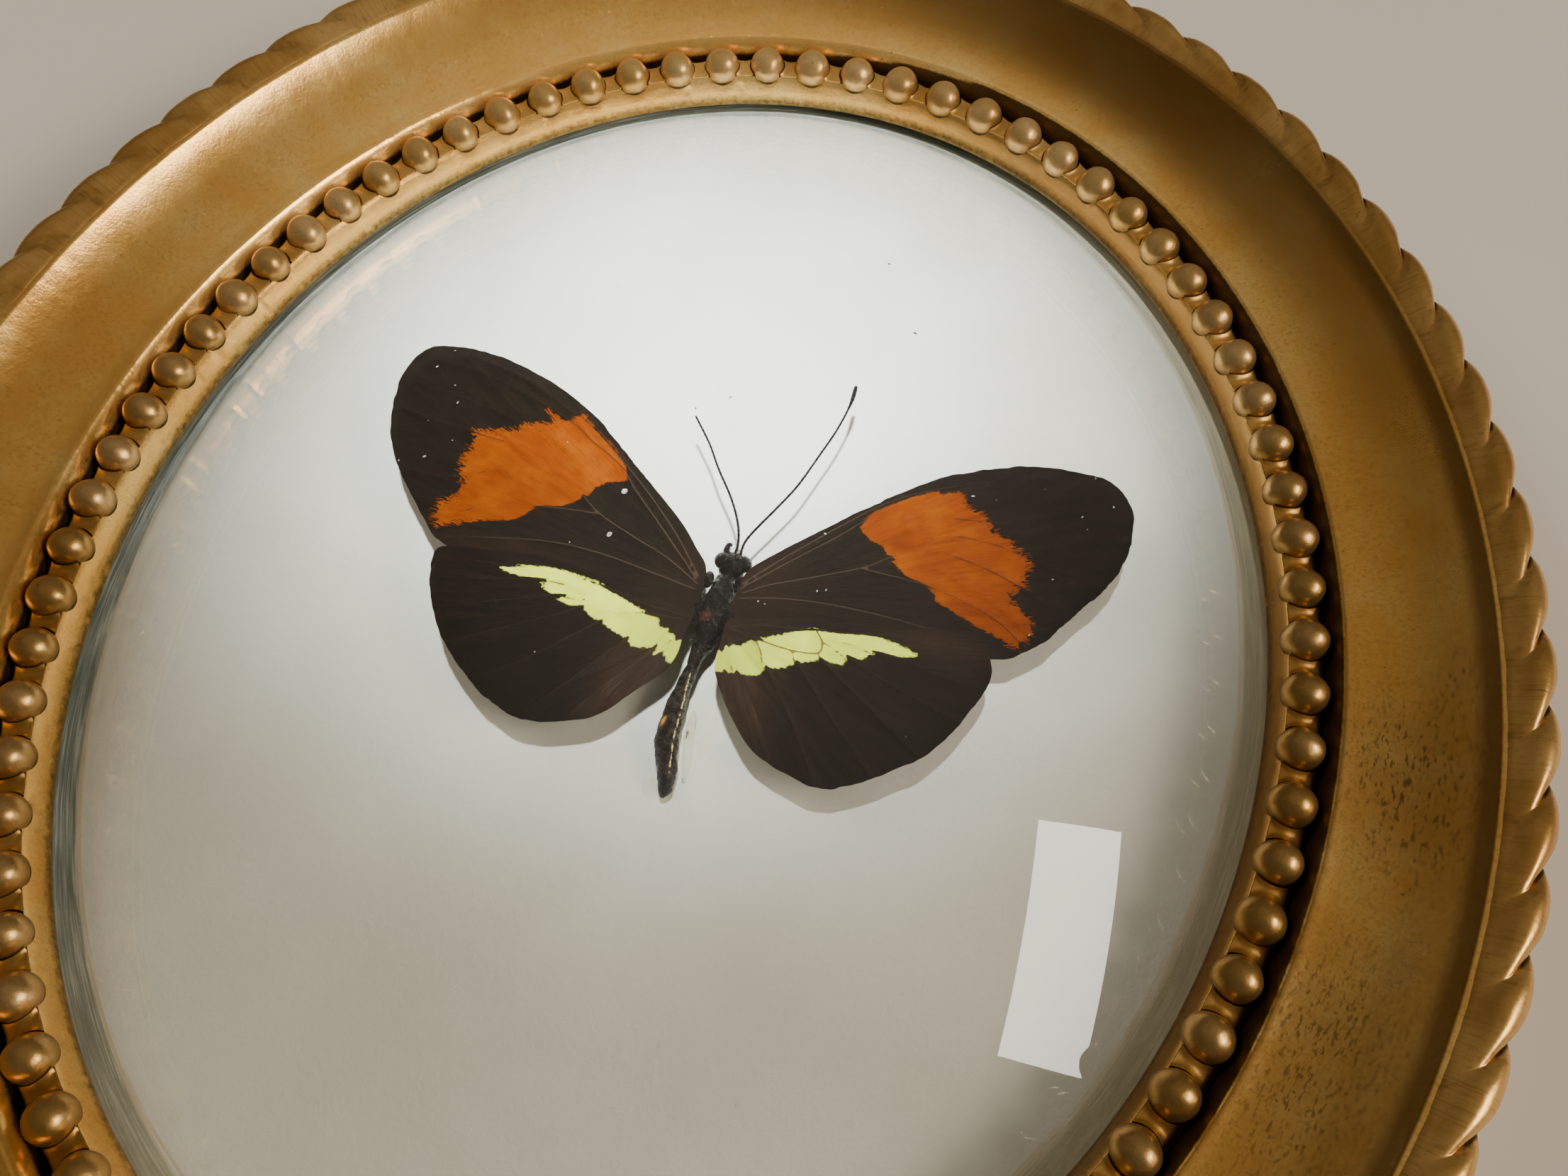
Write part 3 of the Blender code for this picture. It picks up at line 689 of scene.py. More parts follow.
def build_beads():
    """The row of cast beads, each a little uneven, shorter along the row and set halfway in its socket."""
    ball, faces = ball_mesh((0.0, 0.0, 0.0), 1.0, 22, 36)
    parts, track = [], []
    for bead in range(BEAD_COUNT):
        angle = angle_at(BEAD_START - bead / BEAD_COUNT)
        uneven = roughness_of(ball + bead * 7.0, 1.1) * 0.045 + roughness_of(ball + bead * 3.0, 0.40) * 0.014
        size = BEAD_RADIUS * (1.0 + 0.02 * math.sin(bead * 2.7))
        made = ball * size * (1.0 + uneven)[:, None]
        across = oval_normal(angle)
        along = np.array([-across[1], across[0]])
        flat = made[:, :1] * across + made[:, 1:2] * along * BEAD_SHORTER
        parts.append((np.hstack([flat, made[:, 2:]]) + np.append(beside(angle, 0.0), BEAD_HEIGHT), faces))
        track.append(made + [bead * 4.7, 0.0, 0.0])
    finish = gilt("gilt_beads", BEAD_GOLD, BEAD_WORN, 0.35, 0.84)
    piece = new_piece("bead_row", *joined(parts), finish, "antique_gilt", "frame", sharp=80.0)
    # Painted shade: each bead darkens over its lower half, where it sits in its socket.
    hollow = np.tile(0.85 * ease(0.0, -0.4, ball[:, 2]), BEAD_COUNT)
    add_values(piece, hollow=hollow, track=np.vstack(track))


def build_rope():
    """The twisted edge: plump strands that slant across it, with a sharp crease between each two."""
    even = np.arange(ROPE_STEPS) / ROPE_STEPS
    within = np.tile(even - ROPE_GATHER * np.sin(TURN * even), ROPE_STRANDS)
    phase = within + np.repeat(np.arange(ROPE_STRANDS), ROPE_STEPS)
    turn = np.arange(ROPE_SIDES) / ROPE_SIDES * TURN
    slant = ROPE_LEAN * np.cos(turn) / 2.0 / length_round(ROPE_OUT)
    share = (phase[:, None] + ROPE_START) / ROPE_STRANDS + slant
    crease = np.abs(2.0 * within[:, None] - 1.0) ** 2.5
    radius = ROPE_RADIUS - crease * ROPE_GROOVE * ease(-0.50, 0.60, np.cos(turn - 0.3))
    angle = angle_at(share, ROPE_OUT)
    inner = ease(0.0, -1.0, np.cos(turn))
    outwards = np.cos(turn) * (1.0 + 0.30 * inner)
    upwards = np.sin(turn) * (1.0 - 0.35 * inner) + 0.12 * ease(-0.6, -1.0, np.cos(turn))

    def skin():
        flat = beside(angle, ROPE_OUT + radius * outwards)
        return np.dstack([flat, ROPE_HEIGHT + radius * upwards]).reshape(-1, 3)

    points = skin()
    shift = roughness_of(points, 2.4, 4.0) * 0.035 + roughness_of(points, 0.7, 5.0) * 0.03
    radius = radius + shift.reshape(radius.shape) - 0.02
    points = skin()
    quads = outward(points, ring_quads(len(phase), ROPE_SIDES))
    finish = gilt("gilt_rope", ROPE_GOLD, ROPE_WORN, 0.33, 0.80)
    piece = new_piece("rope_edge", points, quads, finish, "antique_gilt", "frame", sharp=60.0)
    # Grime and painted shade: darker in the creases, most on the outer side.
    deep = ease(0.45, 1.0, crease) * ease(-0.25, 0.65, np.cos(turn))
    stain = np.broadcast_to(0.35 * (crease > 0.4), radius.shape)
    track = np.dstack([share * length_round(ROPE_OUT), radius, radius]).reshape(-1, 3)
    add_values(piece, hollow=deep.ravel(), stain=stain.ravel(), track=track)


# Glass and paper

def dome_height(share):
    """Height of the glass over its rim at a share of the way from the centre to the dome's edge."""
    edge = math.cos(GLASS_CAP_ANGLE)
    here = np.cos(np.arcsin(share * math.sin(GLASS_CAP_ANGLE)))
    return GLASS_RISE * (here - edge) / (1.0 - edge)


def glass_surface(under):
    """Rings of one face of the glass, from near the middle to the rim's edge."""
    angle = angle_at(np.arange(GLASS_SIDES) / GLASS_SIDES)
    edge_out = GLASS_RIM_OUT - GLASS_RIM_WIDTH
    rings = []
    for share in np.linspace(0.0, 1.0, GLASS_RINGS + 1)[1:]:
        rings.append((beside(angle, edge_out) * share, dome_height(min(share, 1.0))))
    for part in (0.15, 0.5, 1.0):
        rings.append((beside(angle, edge_out + GLASS_RIM_WIDTH * part), 0.0))
    level = GLASS_RIM_TOP - under
    return [np.column_stack([flat, np.full(GLASS_SIDES, level + rise)]) for flat, rise in rings]


def build_glass():
    rings = glass_surface(0.0) + glass_surface(GLASS_THICKNESS)[::-1]
    top = GLASS_RIM_TOP + GLASS_RISE
    points = np.vstack(rings + [(0.0, 0.0, top), (0.0, 0.0, top - GLASS_THICKNESS)])
    faces = closed_rings(points, len(rings), GLASS_SIDES)
    piece = new_piece("dome_of_glass", points, faces, clear_glass(), "clear_glass", "glass_dome", sharp=50.0)
    piece.visible_shadow = False
    flat = points[:, :2]
    edge = beside(angle_at(np.arange(GLASS_SIDES) / GLASS_SIDES), GLASS_RIM_OUT - GLASS_RIM_WIDTH)
    inward = distance_to(flat, edge, closed=True) * np.where(inside_outline(flat, edge), 1.0, -1.0)
    heading = np.arctan2(flat[:, 1], flat[:, 0])
    along = heading / TURN * length_round()
    # Painted reflection: how steel-blue the rim is, highest on one side of the oval.
    steely = 0.25 + 0.75 * ease(-0.4, 0.5, np.cos(heading - STEELY_REFLECTION_SIDE))
    add_values(piece, inward=inward, steely=steely, edge=np.column_stack([along, inward, inward * 0.0]))


GLUE_SOAKED = [(3.6, -13.0, 3.4), (5.6, -9.0, 2.6), (3.0, -7.5, 2.4), (3.4, -16.6, 1.6)]  # x, y and radius


def build_paper():
    """The oval sheet, with the soft waves of thick paper."""
    edge = beside(angle_at(np.arange(MAT_SIDES) / MAT_SIDES), GLASS_RIM_OUT)
    share = np.linspace(0.0, 1.0, MAT_RINGS + 1)[1:]
    flat = (edge[None, :, :] * share[:, None, None]).reshape(-1, 2)
    waves = roughness_of(flat, 14.0, 6.0) * 0.05 + roughness_of(flat, 3.0, 7.0) * 0.018
    top, bottom = MAT_TOP - 0.05, MAT_TOP - MAT_THICKNESS
    low = np.column_stack([edge, np.full(MAT_SIDES, bottom)])
    points = np.vstack([np.column_stack([flat, top + waves]), low, [(0.0, 0.0, top), (0.0, 0.0, bottom)]])
    faces = closed_rings(points, MAT_RINGS + 1, MAT_SIDES)
    piece = new_piece("paper_mat", points, faces, white_paper(), "white_paper", "mat")
    soaked = np.zeros(len(points))
    for x, y, size in GLUE_SOAKED:
        off = np.hypot(points[:, 0] - x, points[:, 1] - y) / size
        soaked = np.maximum(soaked, np.exp(-off ** 4))
    add_values(piece, soaked=soaked)


# Wings

FOREWING_LEFT = [
    (1.8, 2.6), (0.3, 4.5), (-1.9, 6.8), (-7.1, 11.0), (-12.5, 15.2), (-17.4, 17.5), (-21.4, 18.6),
    (-24.7, 19.0), (-27.5, 18.7), (-29.2, 17.9), (-30.2, 16.0), (-30.3, 14.0), (-29.9, 11.5),
    (-29.3, 9.3), (-27.2, 5.7), (-23.5, 1.7), (-21.9, 0.1), (-20.5, -0.7), (-16.6, -1.9), (-7.8, -2.0),
    (0.1, -1.8), (1.9, -1.3),
]
FOREWING_RIGHT = [
    (5.0, 2.9), (6.5, 5.0), (10.0, 8.5), (13.8, 12.1), (18.2, 15.7), (22.0, 17.7), (26.1, 19.2),
    (29.9, 19.6), (32.9, 19.3), (34.6, 18.0), (35.5, 16.0), (35.6, 12.9), (34.6, 9.6), (32.5, 6.2),
    (30.3, 3.0), (28.3, 1.2), (26.5, 0.3), (21.8, -0.7), (12.9, -1.7), (7.0, -1.9), (5.0, -1.5),
]
HINDWING_LEFT = [
    (1.9, -1.1), (-1.8, -1.1), (-5.8, -0.6), (-10.2, 0.0), (-14.6, -0.4), (-18.1, -0.9), (-20.2, -1.3),
    (-20.5, -2.5), (-19.9, -4.6), (-18.5, -7.2), (-16.8, -9.5), (-14.4, -11.5), (-11.7, -13.2),
    (-8.4, -14.2), (-4.6, -13.3), (-2.4, -12.0), (-0.6, -9.7), (1.3, -7.2), (1.8, -5.4), (1.8, -3.8),
]
HINDWING_RIGHT = [
    (5.0, -1.6), (7.0, -1.0), (12.0, 0.2), (17.9, 1.0), (22.6, 1.8), (25.0, 1.5), (26.2, 0.2),
    (26.6, -1.5), (26.0, -3.8), (24.7, -6.6), (23.0, -9.2), (20.3, -11.4), (18.0, -12.9), (15.6, -13.8),
    (12.6, -13.2), (10.1, -12.2), (7.8, -10.1), (5.6, -7.1), (5.0, -5.6), (4.9, -3.8),
]
BAND_LEFT = [
    (-13.3, 14.8), (-12.2, 14.1), (-9.8, 12.5), (-8.0, 11.0), (-7.6, 10.3), (-7.2, 9.4), (-9.0, 8.6),
    (-9.8, 7.9), (-10.1, 6.9), (-12.0, 5.3), (-14.2, 4.4), (-14.7, 3.7), (-15.8, 2.9), (-18.6, 2.1),
    (-20.7, 1.1), (-21.4, 0.7), (-22.1, 1.2), (-22.4, 2.1), (-22.2, 2.9), (-21.3, 3.7), (-20.9, 5.3),
    (-21.7, 5.8), (-21.7, 6.9), (-22.2, 7.9), (-21.6, 8.8), (-22.1, 9.2), (-21.3, 9.6), (-21.8, 10.7),
    (-19.1, 11.4), (-18.2, 12.4), (-16.9, 12.9), (-15.5, 13.4), (-16.4, 14.4), (-14.4, 13.9),
]
BAND_RIGHT = [
    (21.2, 15.1), (19.7, 14.8), (18.7, 15.0), (17.7, 14.3), (15.5, 12.7), (13.8, 11.2), (13.3, 9.9),
    (14.3, 8.9), (15.5, 8.5), (16.1, 7.8), (17.1, 6.9), (18.2, 6.1), (19.8, 5.4), (20.8, 5.0),
    (21.0, 4.4), (22.6, 3.8), (25.4, 2.7), (28.0, 2.0), (28.9, 2.7), (29.0, 3.7), (28.9, 4.4),
    (28.0, 5.1), (26.6, 6.5), (27.8, 7.5), (27.5, 8.6), (28.0, 9.4), (27.8, 10.2), (26.3, 11.1),
    (25.5, 11.7), (24.0, 12.3), (23.8, 13.1), (21.7, 13.9),
]
BAR_LEFT = [
    (-14.8, -1.9), (-13.6, -1.4), (-12.0, -1.0), (-10.4, -0.8), (-7.1, -1.0), (-5.7, -1.3),
    (-4.4, -1.8), (-3.0, -2.3), (-1.6, -2.7), (-0.5, -3.0), (-0.4, -3.6), (0.5, -3.7), (1.4, -4.3),
    (2.2, -4.5), (2.3, -5.6), (1.4, -6.6), (0.9, -6.1), (0.3, -6.2), (-0.2, -6.2), (0.1, -5.6), (-1.9, -5.9),
    (-2.4, -5.5), (-4.4, -4.8), (-6.0, -4.2), (-7.0, -3.7), (-8.1, -3.7), (-9.1, -3.5), (-8.7, -3.1),
    (-9.8, -3.2), (-10.9, -2.5), (-10.5, -2.3), (-13.7, -2.2),
]
BAR_RIGHT = [
    (20.6, -1.0), (18.8, -0.5), (16.6, -0.2), (14.3, -0.5), (12.2, -0.7), (11.1, -1.0), (9.2, -2.1),
    (7.2, -3.0), (6.5, -3.6), (5.8, -3.7), (5.1, -4.4), (4.5, -4.9), (4.5, -5.6), (5.2, -6.3),
    (6.5, -6.2), (8.6, -5.8), (9.0, -5.2), (10.3, -4.7), (11.4, -4.1), (13.0, -3.4), (14.9, -3.3),
    (15.3, -2.6), (16.3, -2.5), (16.8, -2.0), (17.7, -1.6), (19.3, -1.5),
]

# Veins as lines of points, from the wing root outwards.
VEINS_FOREWING_LEFT = [
    [(1.3, 1.9), (-2.2, 5.8), (-7.2, 10.2), (-11.6, 13.4), (-14.2, 14.8), (-19.5, 17.0), (-25.3, 18.3)],
    [(1.3, 1.5), (-3.3, 5.8), (-6.3, 8.5), (-7.8, 10.1), (-9.6, 11.3), (-11.6, 12.3), (-12.9, 13.2),
     (-14.6, 14.0), (-17.5, 15.2), (-23.4, 16.6), (-28.2, 16.9)],
    [(1.5, 1.1), (-1.4, 2.7), (-5.0, 4.0), (-8.5, 5.4), (-11.1, 7.2), (-12.9, 8.5), (-13.5, 9.6)],
    [(-13.5, 9.6), (-12.8, 10.5), (-11.7, 11.0), (-11.4, 12.2)],
    [(-13.5, 9.6), (-16.6, 10.3), (-19.7, 10.2), (-23.4, 10.5), (-28.8, 11.0)],
    [(-12.7, 10.6), (-14.6, 11.4), (-17.1, 12.1), (-21.5, 13.2), (-29.0, 14.0)],
    [(-12.9, 8.5), (-16.1, 7.9), (-19.1, 7.0), (-21.8, 5.7), (-26.4, 5.0)],
    [(-8.5, 5.4), (-11.7, 5.1), (-15.6, 4.4), (-19.6, 2.8), (-22.0, 1.1)],
    [(1.4, 0.6), (-2.8, 1.2), (-7.8, 1.8), (-12.7, 1.6), (-20.0, 0.0)],
]
VEINS_FOREWING_RIGHT = [
    [(5.1, 2.1), (8.3, 5.8), (13.1, 10.9), (15.9, 13.3), (18.6, 14.8), (22.8, 16.6), (28.2, 18.4)],
    [(5.1, 1.6), (8.4, 5.1), (11.5, 8.2), (13.5, 10.4), (15.1, 11.7), (17.1, 13.1), (20.1, 15.0),
     (24.7, 16.8), (30.6, 17.6)],
    [(5.3, 1.2), (7.5, 2.6), (10.5, 4.0), (14.3, 5.9), (16.5, 7.5), (18.8, 9.0), (19.0, 10.2)],
    [(19.0, 10.2), (18.1, 10.2), (17.0, 10.9), (16.8, 11.9), (17.2, 12.7)],
    [(19.0, 10.2), (20.8, 10.7), (23.3, 10.8), (26.2, 10.5), (30.2, 9.5), (34.1, 9.1)],
    [(17.2, 12.7), (19.4, 12.4), (21.8, 12.5), (24.0, 12.9), (28.7, 13.5), (35.0, 13.8)],
    [(18.8, 9.0), (21.3, 8.9), (23.8, 8.4), (26.7, 7.5), (31.7, 5.4)],
    [(16.5, 7.5), (19.8, 7.4), (22.3, 6.7), (25.8, 5.2), (29.1, 3.0), (30.0, 2.9)],
    [(14.3, 5.9), (16.4, 5.8), (19.8, 5.6), (23.3, 4.8), (26.2, 3.7), (28.6, 2.1)],
    [(5.3, 0.7), (9.0, 1.6), (13.9, 2.0), (19.8, 1.8), (26.7, 0.7)],
]
VEINS_HINDWING_LEFT = [
    [(1.5, -2.2), (-1.8, -2.0), (-6.0, -1.4), (-10.2, -1.3), (-17.1, -1.9)],
    [(1.3, -2.6), (-1.5, -2.8), (-3.7, -3.3), (-6.6, -3.3), (-6.9, -2.5), (-6.0, -1.4)],
    [(-6.9, -2.4), (-9.3, -1.9), (-12.2, -2.4), (-19.1, -4.1)],
    [(-6.8, -2.9), (-8.7, -3.0), (-11.2, -3.9), (-18.5, -6.8)],
    [(-6.6, -3.3), (-9.3, -5.2), (-16.4, -9.5)],
    [(-4.2, -3.4), (-5.2, -4.6), (-8.7, -8.2), (-13.1, -12.1)],
    [(-1.5, -2.9), (-1.8, -3.8), (-2.6, -5.5), (-5.4, -9.6), (-8.4, -13.7)],
    [(1.1, -3.3), (0.3, -4.6), (-0.4, -6.2), (-2.4, -9.0), (-4.8, -12.7)],
    [(1.5, -4.2), (0.8, -5.6), (-0.9, -8.4), (-2.2, -10.8)],
]
VEINS_HINDWING_RIGHT = [
    [(5.3, -2.2), (8.0, -1.5), (12.2, -0.9), (16.9, -0.1), (23.3, 0.9)],
    [(5.3, -2.4), (7.8, -2.8), (10.6, -3.1), (12.8, -2.8), (12.9, -1.8), (12.2, -0.9)],
    [(12.9, -1.8), (13.8, -1.5), (16.1, -1.5), (19.4, -1.8), (25.6, -2.9)],
    [(12.9, -1.8), (15.2, -2.5), (18.4, -3.8), (25.0, -5.8)],
    [(12.8, -2.8), (13.3, -3.3), (16.7, -5.6), (22.4, -9.4)],
    [(10.6, -3.1), (11.5, -4.1), (15.1, -7.8), (19.3, -11.9)],
    [(7.6, -2.9), (8.3, -3.8), (9.2, -5.1), (12.0, -8.6), (15.1, -13.3)],
    [(5.4, -3.4), (6.7, -5.6), (9.2, -9.4), (11.2, -12.3)],
    [(5.1, -4.0), (5.7, -5.6), (7.0, -8.1)],
]
# Lines of dark scales that cross the coloured patches.
INK_FOREWING_LEFT = [
    [(-7.4, 9.9), (-9.6, 11.3), (-11.6, 12.3), (-12.9, 13.2), (-14.6, 14.0)],
    [(-14.3, 11.4), (-16.4, 12.1), (-17.6, 12.6)], [(-19.0, 10.2), (-21.0, 10.3), (-22.4, 10.4)],
    [(-19.4, 6.9), (-21.0, 6.1), (-22.2, 5.6)], [(-19.2, 3.0), (-20.6, 2.3), (-22.3, 0.9)],
]
INK_FOREWING_RIGHT = [
    [(12.4, 9.9), (13.5, 10.9), (15.0, 12.2), (17.0, 13.8), (19.6, 15.1)],
    [(20.9, 12.4), (22.6, 12.6), (24.4, 12.9)], [(21.6, 10.8), (24.2, 10.8), (28.2, 10.0)],
    [(20.9, 8.9), (23.6, 8.5), (26.7, 7.5), (28.2, 6.9)],
    [(17.2, 5.8), (21.6, 5.2), (26.2, 3.7), (28.6, 2.0)],
]
INK_HINDWING_LEFT = [
    [(1.9, -3.0), (0.4, -3.2), (-1.5, -2.9), (-2.6, -3.1)], [(-9.0, -2.1), (-10.8, -2.2), (-12.6, -2.5)],
    [(-6.9, -3.0), (-8.6, -3.2), (-9.8, -3.6)], [(1.0, -4.6), (0.2, -5.8), (-0.2, -6.4)],
]
INK_HINDWING_RIGHT = [
    [(5.3, -2.4), (7.8, -2.8), (10.6, -3.1), (12.8, -2.8), (12.9, -1.8), (12.2, -0.9)],
    [(14.6, -1.5), (16.1, -1.6), (17.6, -2.0)], [(12.9, -1.8), (14.2, -2.3), (15.4, -2.9)],
    [(12.8, -2.8), (13.4, -3.5)], [(10.6, -3.1), (11.3, -4.2)], [(7.6, -2.9), (8.3, -3.8), (8.9, -5.4)],
    [(5.4, -3.9), (6.2, -5.2), (6.7, -6.4)],
]
# Folds of the hindwings near the body, as (line, rise, width), with a rise below 0 for a valley.
FOLDS_HINDWING_LEFT = [
    ([(1.2, -3.6), (0.6, -4.8), (-0.3, -6.2)], 0.16, 0.35),
    ([(2.0, -4.2), (1.6, -6.2), (0.6, -8.4)], -0.12, 0.4),
]
FOLDS_HINDWING_RIGHT = [
    ([(5.2, -3.8), (5.9, -4.8), (6.7, -6.1), (7.6, -8.4)], 0.20, 0.40),
    ([(6.4, -3.6), (7.4, -4.6), (8.4, -5.9)], -0.22, 0.60),
    ([(7.7, -3.0), (8.5, -4.2), (9.2, -5.6)], 0.20, 0.30),
]
WING_STEP = 0.24
WING_THICKNESS = 0.10
WING_TILT = 0.02  # rise of a wing for each millimetre away from the body
FOREWING_TOP = 8.12
HINDWING_TOP = 8.66
BODY_X = 3.5
RAY_SPREAD = 14.0  # millimetres of a wing's grain for each radian round its root
VEIN_RISE = 0.11
VEIN_HALF = 0.13  # half width
SLACK = 0.10  # how far a wing sinks between its veins
RELIEF_MOST = 0.30


def inside_outline(points, outline):
    """Which points lie inside a closed outline."""
    x, y = points[:, 0][:, None], points[:, 1][:, None]
    x0, y0 = outline[:, 0], outline[:, 1]
    x1, y1 = np.roll(x0, -1), np.roll(y0, -1)
    crosses = (y0 > y) != (y1 > y)
    reach = x0 + (y - y0) * (x1 - x0) / np.where(y1 == y0, 1e-9, y1 - y0)
    return (crosses & (x < reach)).sum(axis=1) % 2 == 1


def distance_to(points, line, closed=False):
    """Distance of each point to a line of points."""
    a = line if closed else line[:-1]
    b = np.roll(line, -1, axis=0) if closed else line[1:]
    run = b - a
    rel = points[:, None, :] - a[None, :, :]
    share = np.clip((rel * run).sum(-1) / np.maximum((run * run).sum(-1), 1e-9), 0.0, 1.0)
    return np.linalg.norm(rel - share[..., None] * run, axis=-1).min(axis=1)


def scalloped(outline, seed):
    """The wing's margin: the outline with shallow scallops and a fine fringe."""
    edge = resample(catmull(outline, 6, closed=True), WING_STEP * 0.8, closed=True)
    ahead = np.roll(edge, -1, axis=0) - np.roll(edge, 1, axis=0)
    side = np.stack([ahead[:, 1], -ahead[:, 0]], axis=-1)
    side /= np.linalg.norm(side, axis=1, keepdims=True)
    shift = roughness_of(edge, 1.5, seed) * 0.14 + roughness_of(edge, 0.5, seed + 1.0) * 0.06
    far = ease(5.0, 12.0, np.abs(edge[:, 0] - BODY_X))
    return edge + side * (shift * (0.3 + 0.7 * far))[:, None]


def wing_triangles(edge, veins):
    """A triangle mesh of the wing's outline, with edges that run along the veins."""
    low, high = edge.min(axis=0), edge.max(axis=0)
    spots = []
    for i, y in enumerate(np.arange(low[1], high[1], WING_STEP * 0.87)):
        x = np.arange(low[0] + (i % 2) * WING_STEP / 2, high[0], WING_STEP)
        spots.append(np.column_stack([x, np.full(len(x), y)]))
    spots = np.vstack(spots)
    spots = spots[inside_outline(spots, edge)]
    lines = []
    for vein in veins:
        line = resample(catmull(vein, 5), WING_STEP * 0.8)
        line = line[inside_outline(line, edge) & (distance_to(line, edge, closed=True) > WING_STEP * 0.5)]
        if len(line) > 2:
            lines.append(line)
    near = distance_to(spots, edge, closed=True)
    for line in lines:
        near = np.minimum(near, distance_to(spots, line))
    joints, start = [], len(edge)
    for line in lines:
        joints += [(start + k, start + k + 1) for k in range(len(line) - 1)]
        start += len(line)
    flat = np.vstack([edge] + lines + [spots[near > WING_STEP * 0.45]])
    made = delaunay_2d_cdt([Vector(p) for p in flat], joints, [list(range(len(edge)))], 1, 1e-4)
    return np.array([tuple(v) for v in made[0]]), np.array([f for f in made[2] if len(f) == 3])


def wing_solid(flat, faces, top, bottom):
    """Closes a flat triangle mesh into a thin plate between two heights."""
    a, b, c = (flat[faces[:, k]] for k in range(3))
    turn = (b[:, 0] - a[:, 0]) * (c[:, 1] - a[:, 1]) - (b[:, 1] - a[:, 1]) * (c[:, 0] - a[:, 0])
    faces = np.where((turn < 0)[:, None], faces[:, ::-1], faces)
    used = {}
    for tri in faces.tolist():
        for k in range(3):
            used[(tri[k], tri[(k + 1) % 3])] = True
    count = len(flat)
    walls = [[q, p, p + count, q + count] for p, q in used if (q, p) not in used]
    points = np.vstack([np.column_stack([flat, top]), np.column_stack([flat, bottom])])
    return points, faces.tolist() + (faces[:, ::-1] + count).tolist() + walls


def pattern_distance(points, patch):
    """Distance to the edge of a coloured patch, above 0 inside it."""
    line = catmull(patch, 3, closed=True)
    away = distance_to(points, line, closed=True)
    return np.where(inside_outline(points, line), away, -away)


def nearest(points, lines):
    """Distance of each point to the nearest of several lines, or 9 where none is nearer."""
    away = np.full(len(points), 9.0)
    for line in lines:
        away = np.minimum(away, distance_to(points, catmull(line, 5)))
    return away


def build_wing(
    name, node, outline, veins, patch, root, level, finish, seed, light, ink, loose, brown, dull_and_shade, folds=(),
):
    """One wing: a thin plate with raised veins, slack between them, and pleats from its root."""
    edge = scalloped(outline, seed)
    flat, faces = wing_triangles(edge, veins)
    vein = nearest(flat, veins)
    margin = distance_to(flat, edge, closed=True)
    away = flat - np.array(root)
    reach = np.hypot(away[:, 0], away[:, 1])
    around = RAY_SPREAD * np.arctan2(away[:, 1], away[:, 0] * math.copysign(1.0, root[0] - BODY_X))
    tint = brown(flat)
    pleat = roughness_of(np.column_stack([around / 0.9, reach / 9.0]), 1.0, seed)
    relief = VEIN_RISE * bell(vein, 0.0, VEIN_HALF) - SLACK * ease(0.0, 1.4, vein)
    for line, rise, wide in folds:
        relief += rise * np.exp(-distance_to(flat, catmull(line, 5)) / wide)
    relief += (0.07 + 0.20 * np.clip(tint, 0.0, 1.0)) * pleat * ease(0.5, 4.0, reach)
    relief += 0.05 * roughness_of(flat, 4.5, seed + 2.0)
    relief *= 0.35 + 0.65 * ease(0.0, 0.8, margin)
    height = level + WING_TILT * np.abs(flat[:, 0] - BODY_X) + np.clip(relief, -RELIEF_MOST, RELIEF_MOST)
    points, solid = wing_solid(flat, faces, height, height - WING_THICKNESS)
    piece = new_piece(name, points, solid, finish, "wing_scales", node, sharp=60.0)
    looks = {
        "patch": pattern_distance(flat, patch), "patch_dull_and_shade": dull_and_shade(flat), "loose": ease(*loose, reach),
        "vein": vein, "vein_light": light * ease(30.0, 4.0, reach), "ink": nearest(flat, ink),
        "brown": np.clip(tint + 0.25 * ease(9.0, 2.0, reach), 0.0, 1.0),
        "ray": np.column_stack([around, reach, np.full(len(flat), seed)]),
    }
    add_values(piece, **{key: np.concatenate([values, values]) for key, values in looks.items()})


def blob(flat, x, y, wide, high):
    """A soft round patch of 0 to 1 about a place."""
    return bell(flat[:, 0], x, wide) * bell(flat[:, 1], y, high)


def dull_orange_left(flat):
    return 0.35 * blob(flat, -17.0, 6.0, 5.0, 3.0)


def dull_orange_right(flat):
    """The strip in front of the first vein and the end of the cell, which are a duller orange."""
    line = catmull([(12.0, 9.7), (13.5, 11.1), (15.0, 12.3), (17.0, 13.9), (19.6, 15.2), (22.0, 16.6)], 4)
    ahead = np.interp(flat[:, 0], line[:, 0], line[:, 1])
    return np.maximum(ease(-0.1, 0.1, flat[:, 1] - ahead), 0.7 * blob(flat, 16.9, 8.9, 1.7, 0.75))


def shaded_bar_end(flat):
    """The inner end of the bar, which lies in folds: painted shade, darker towards the body."""
    return 0.65 * ease(6.5, 2.0, np.abs(flat[:, 0] - BODY_X))


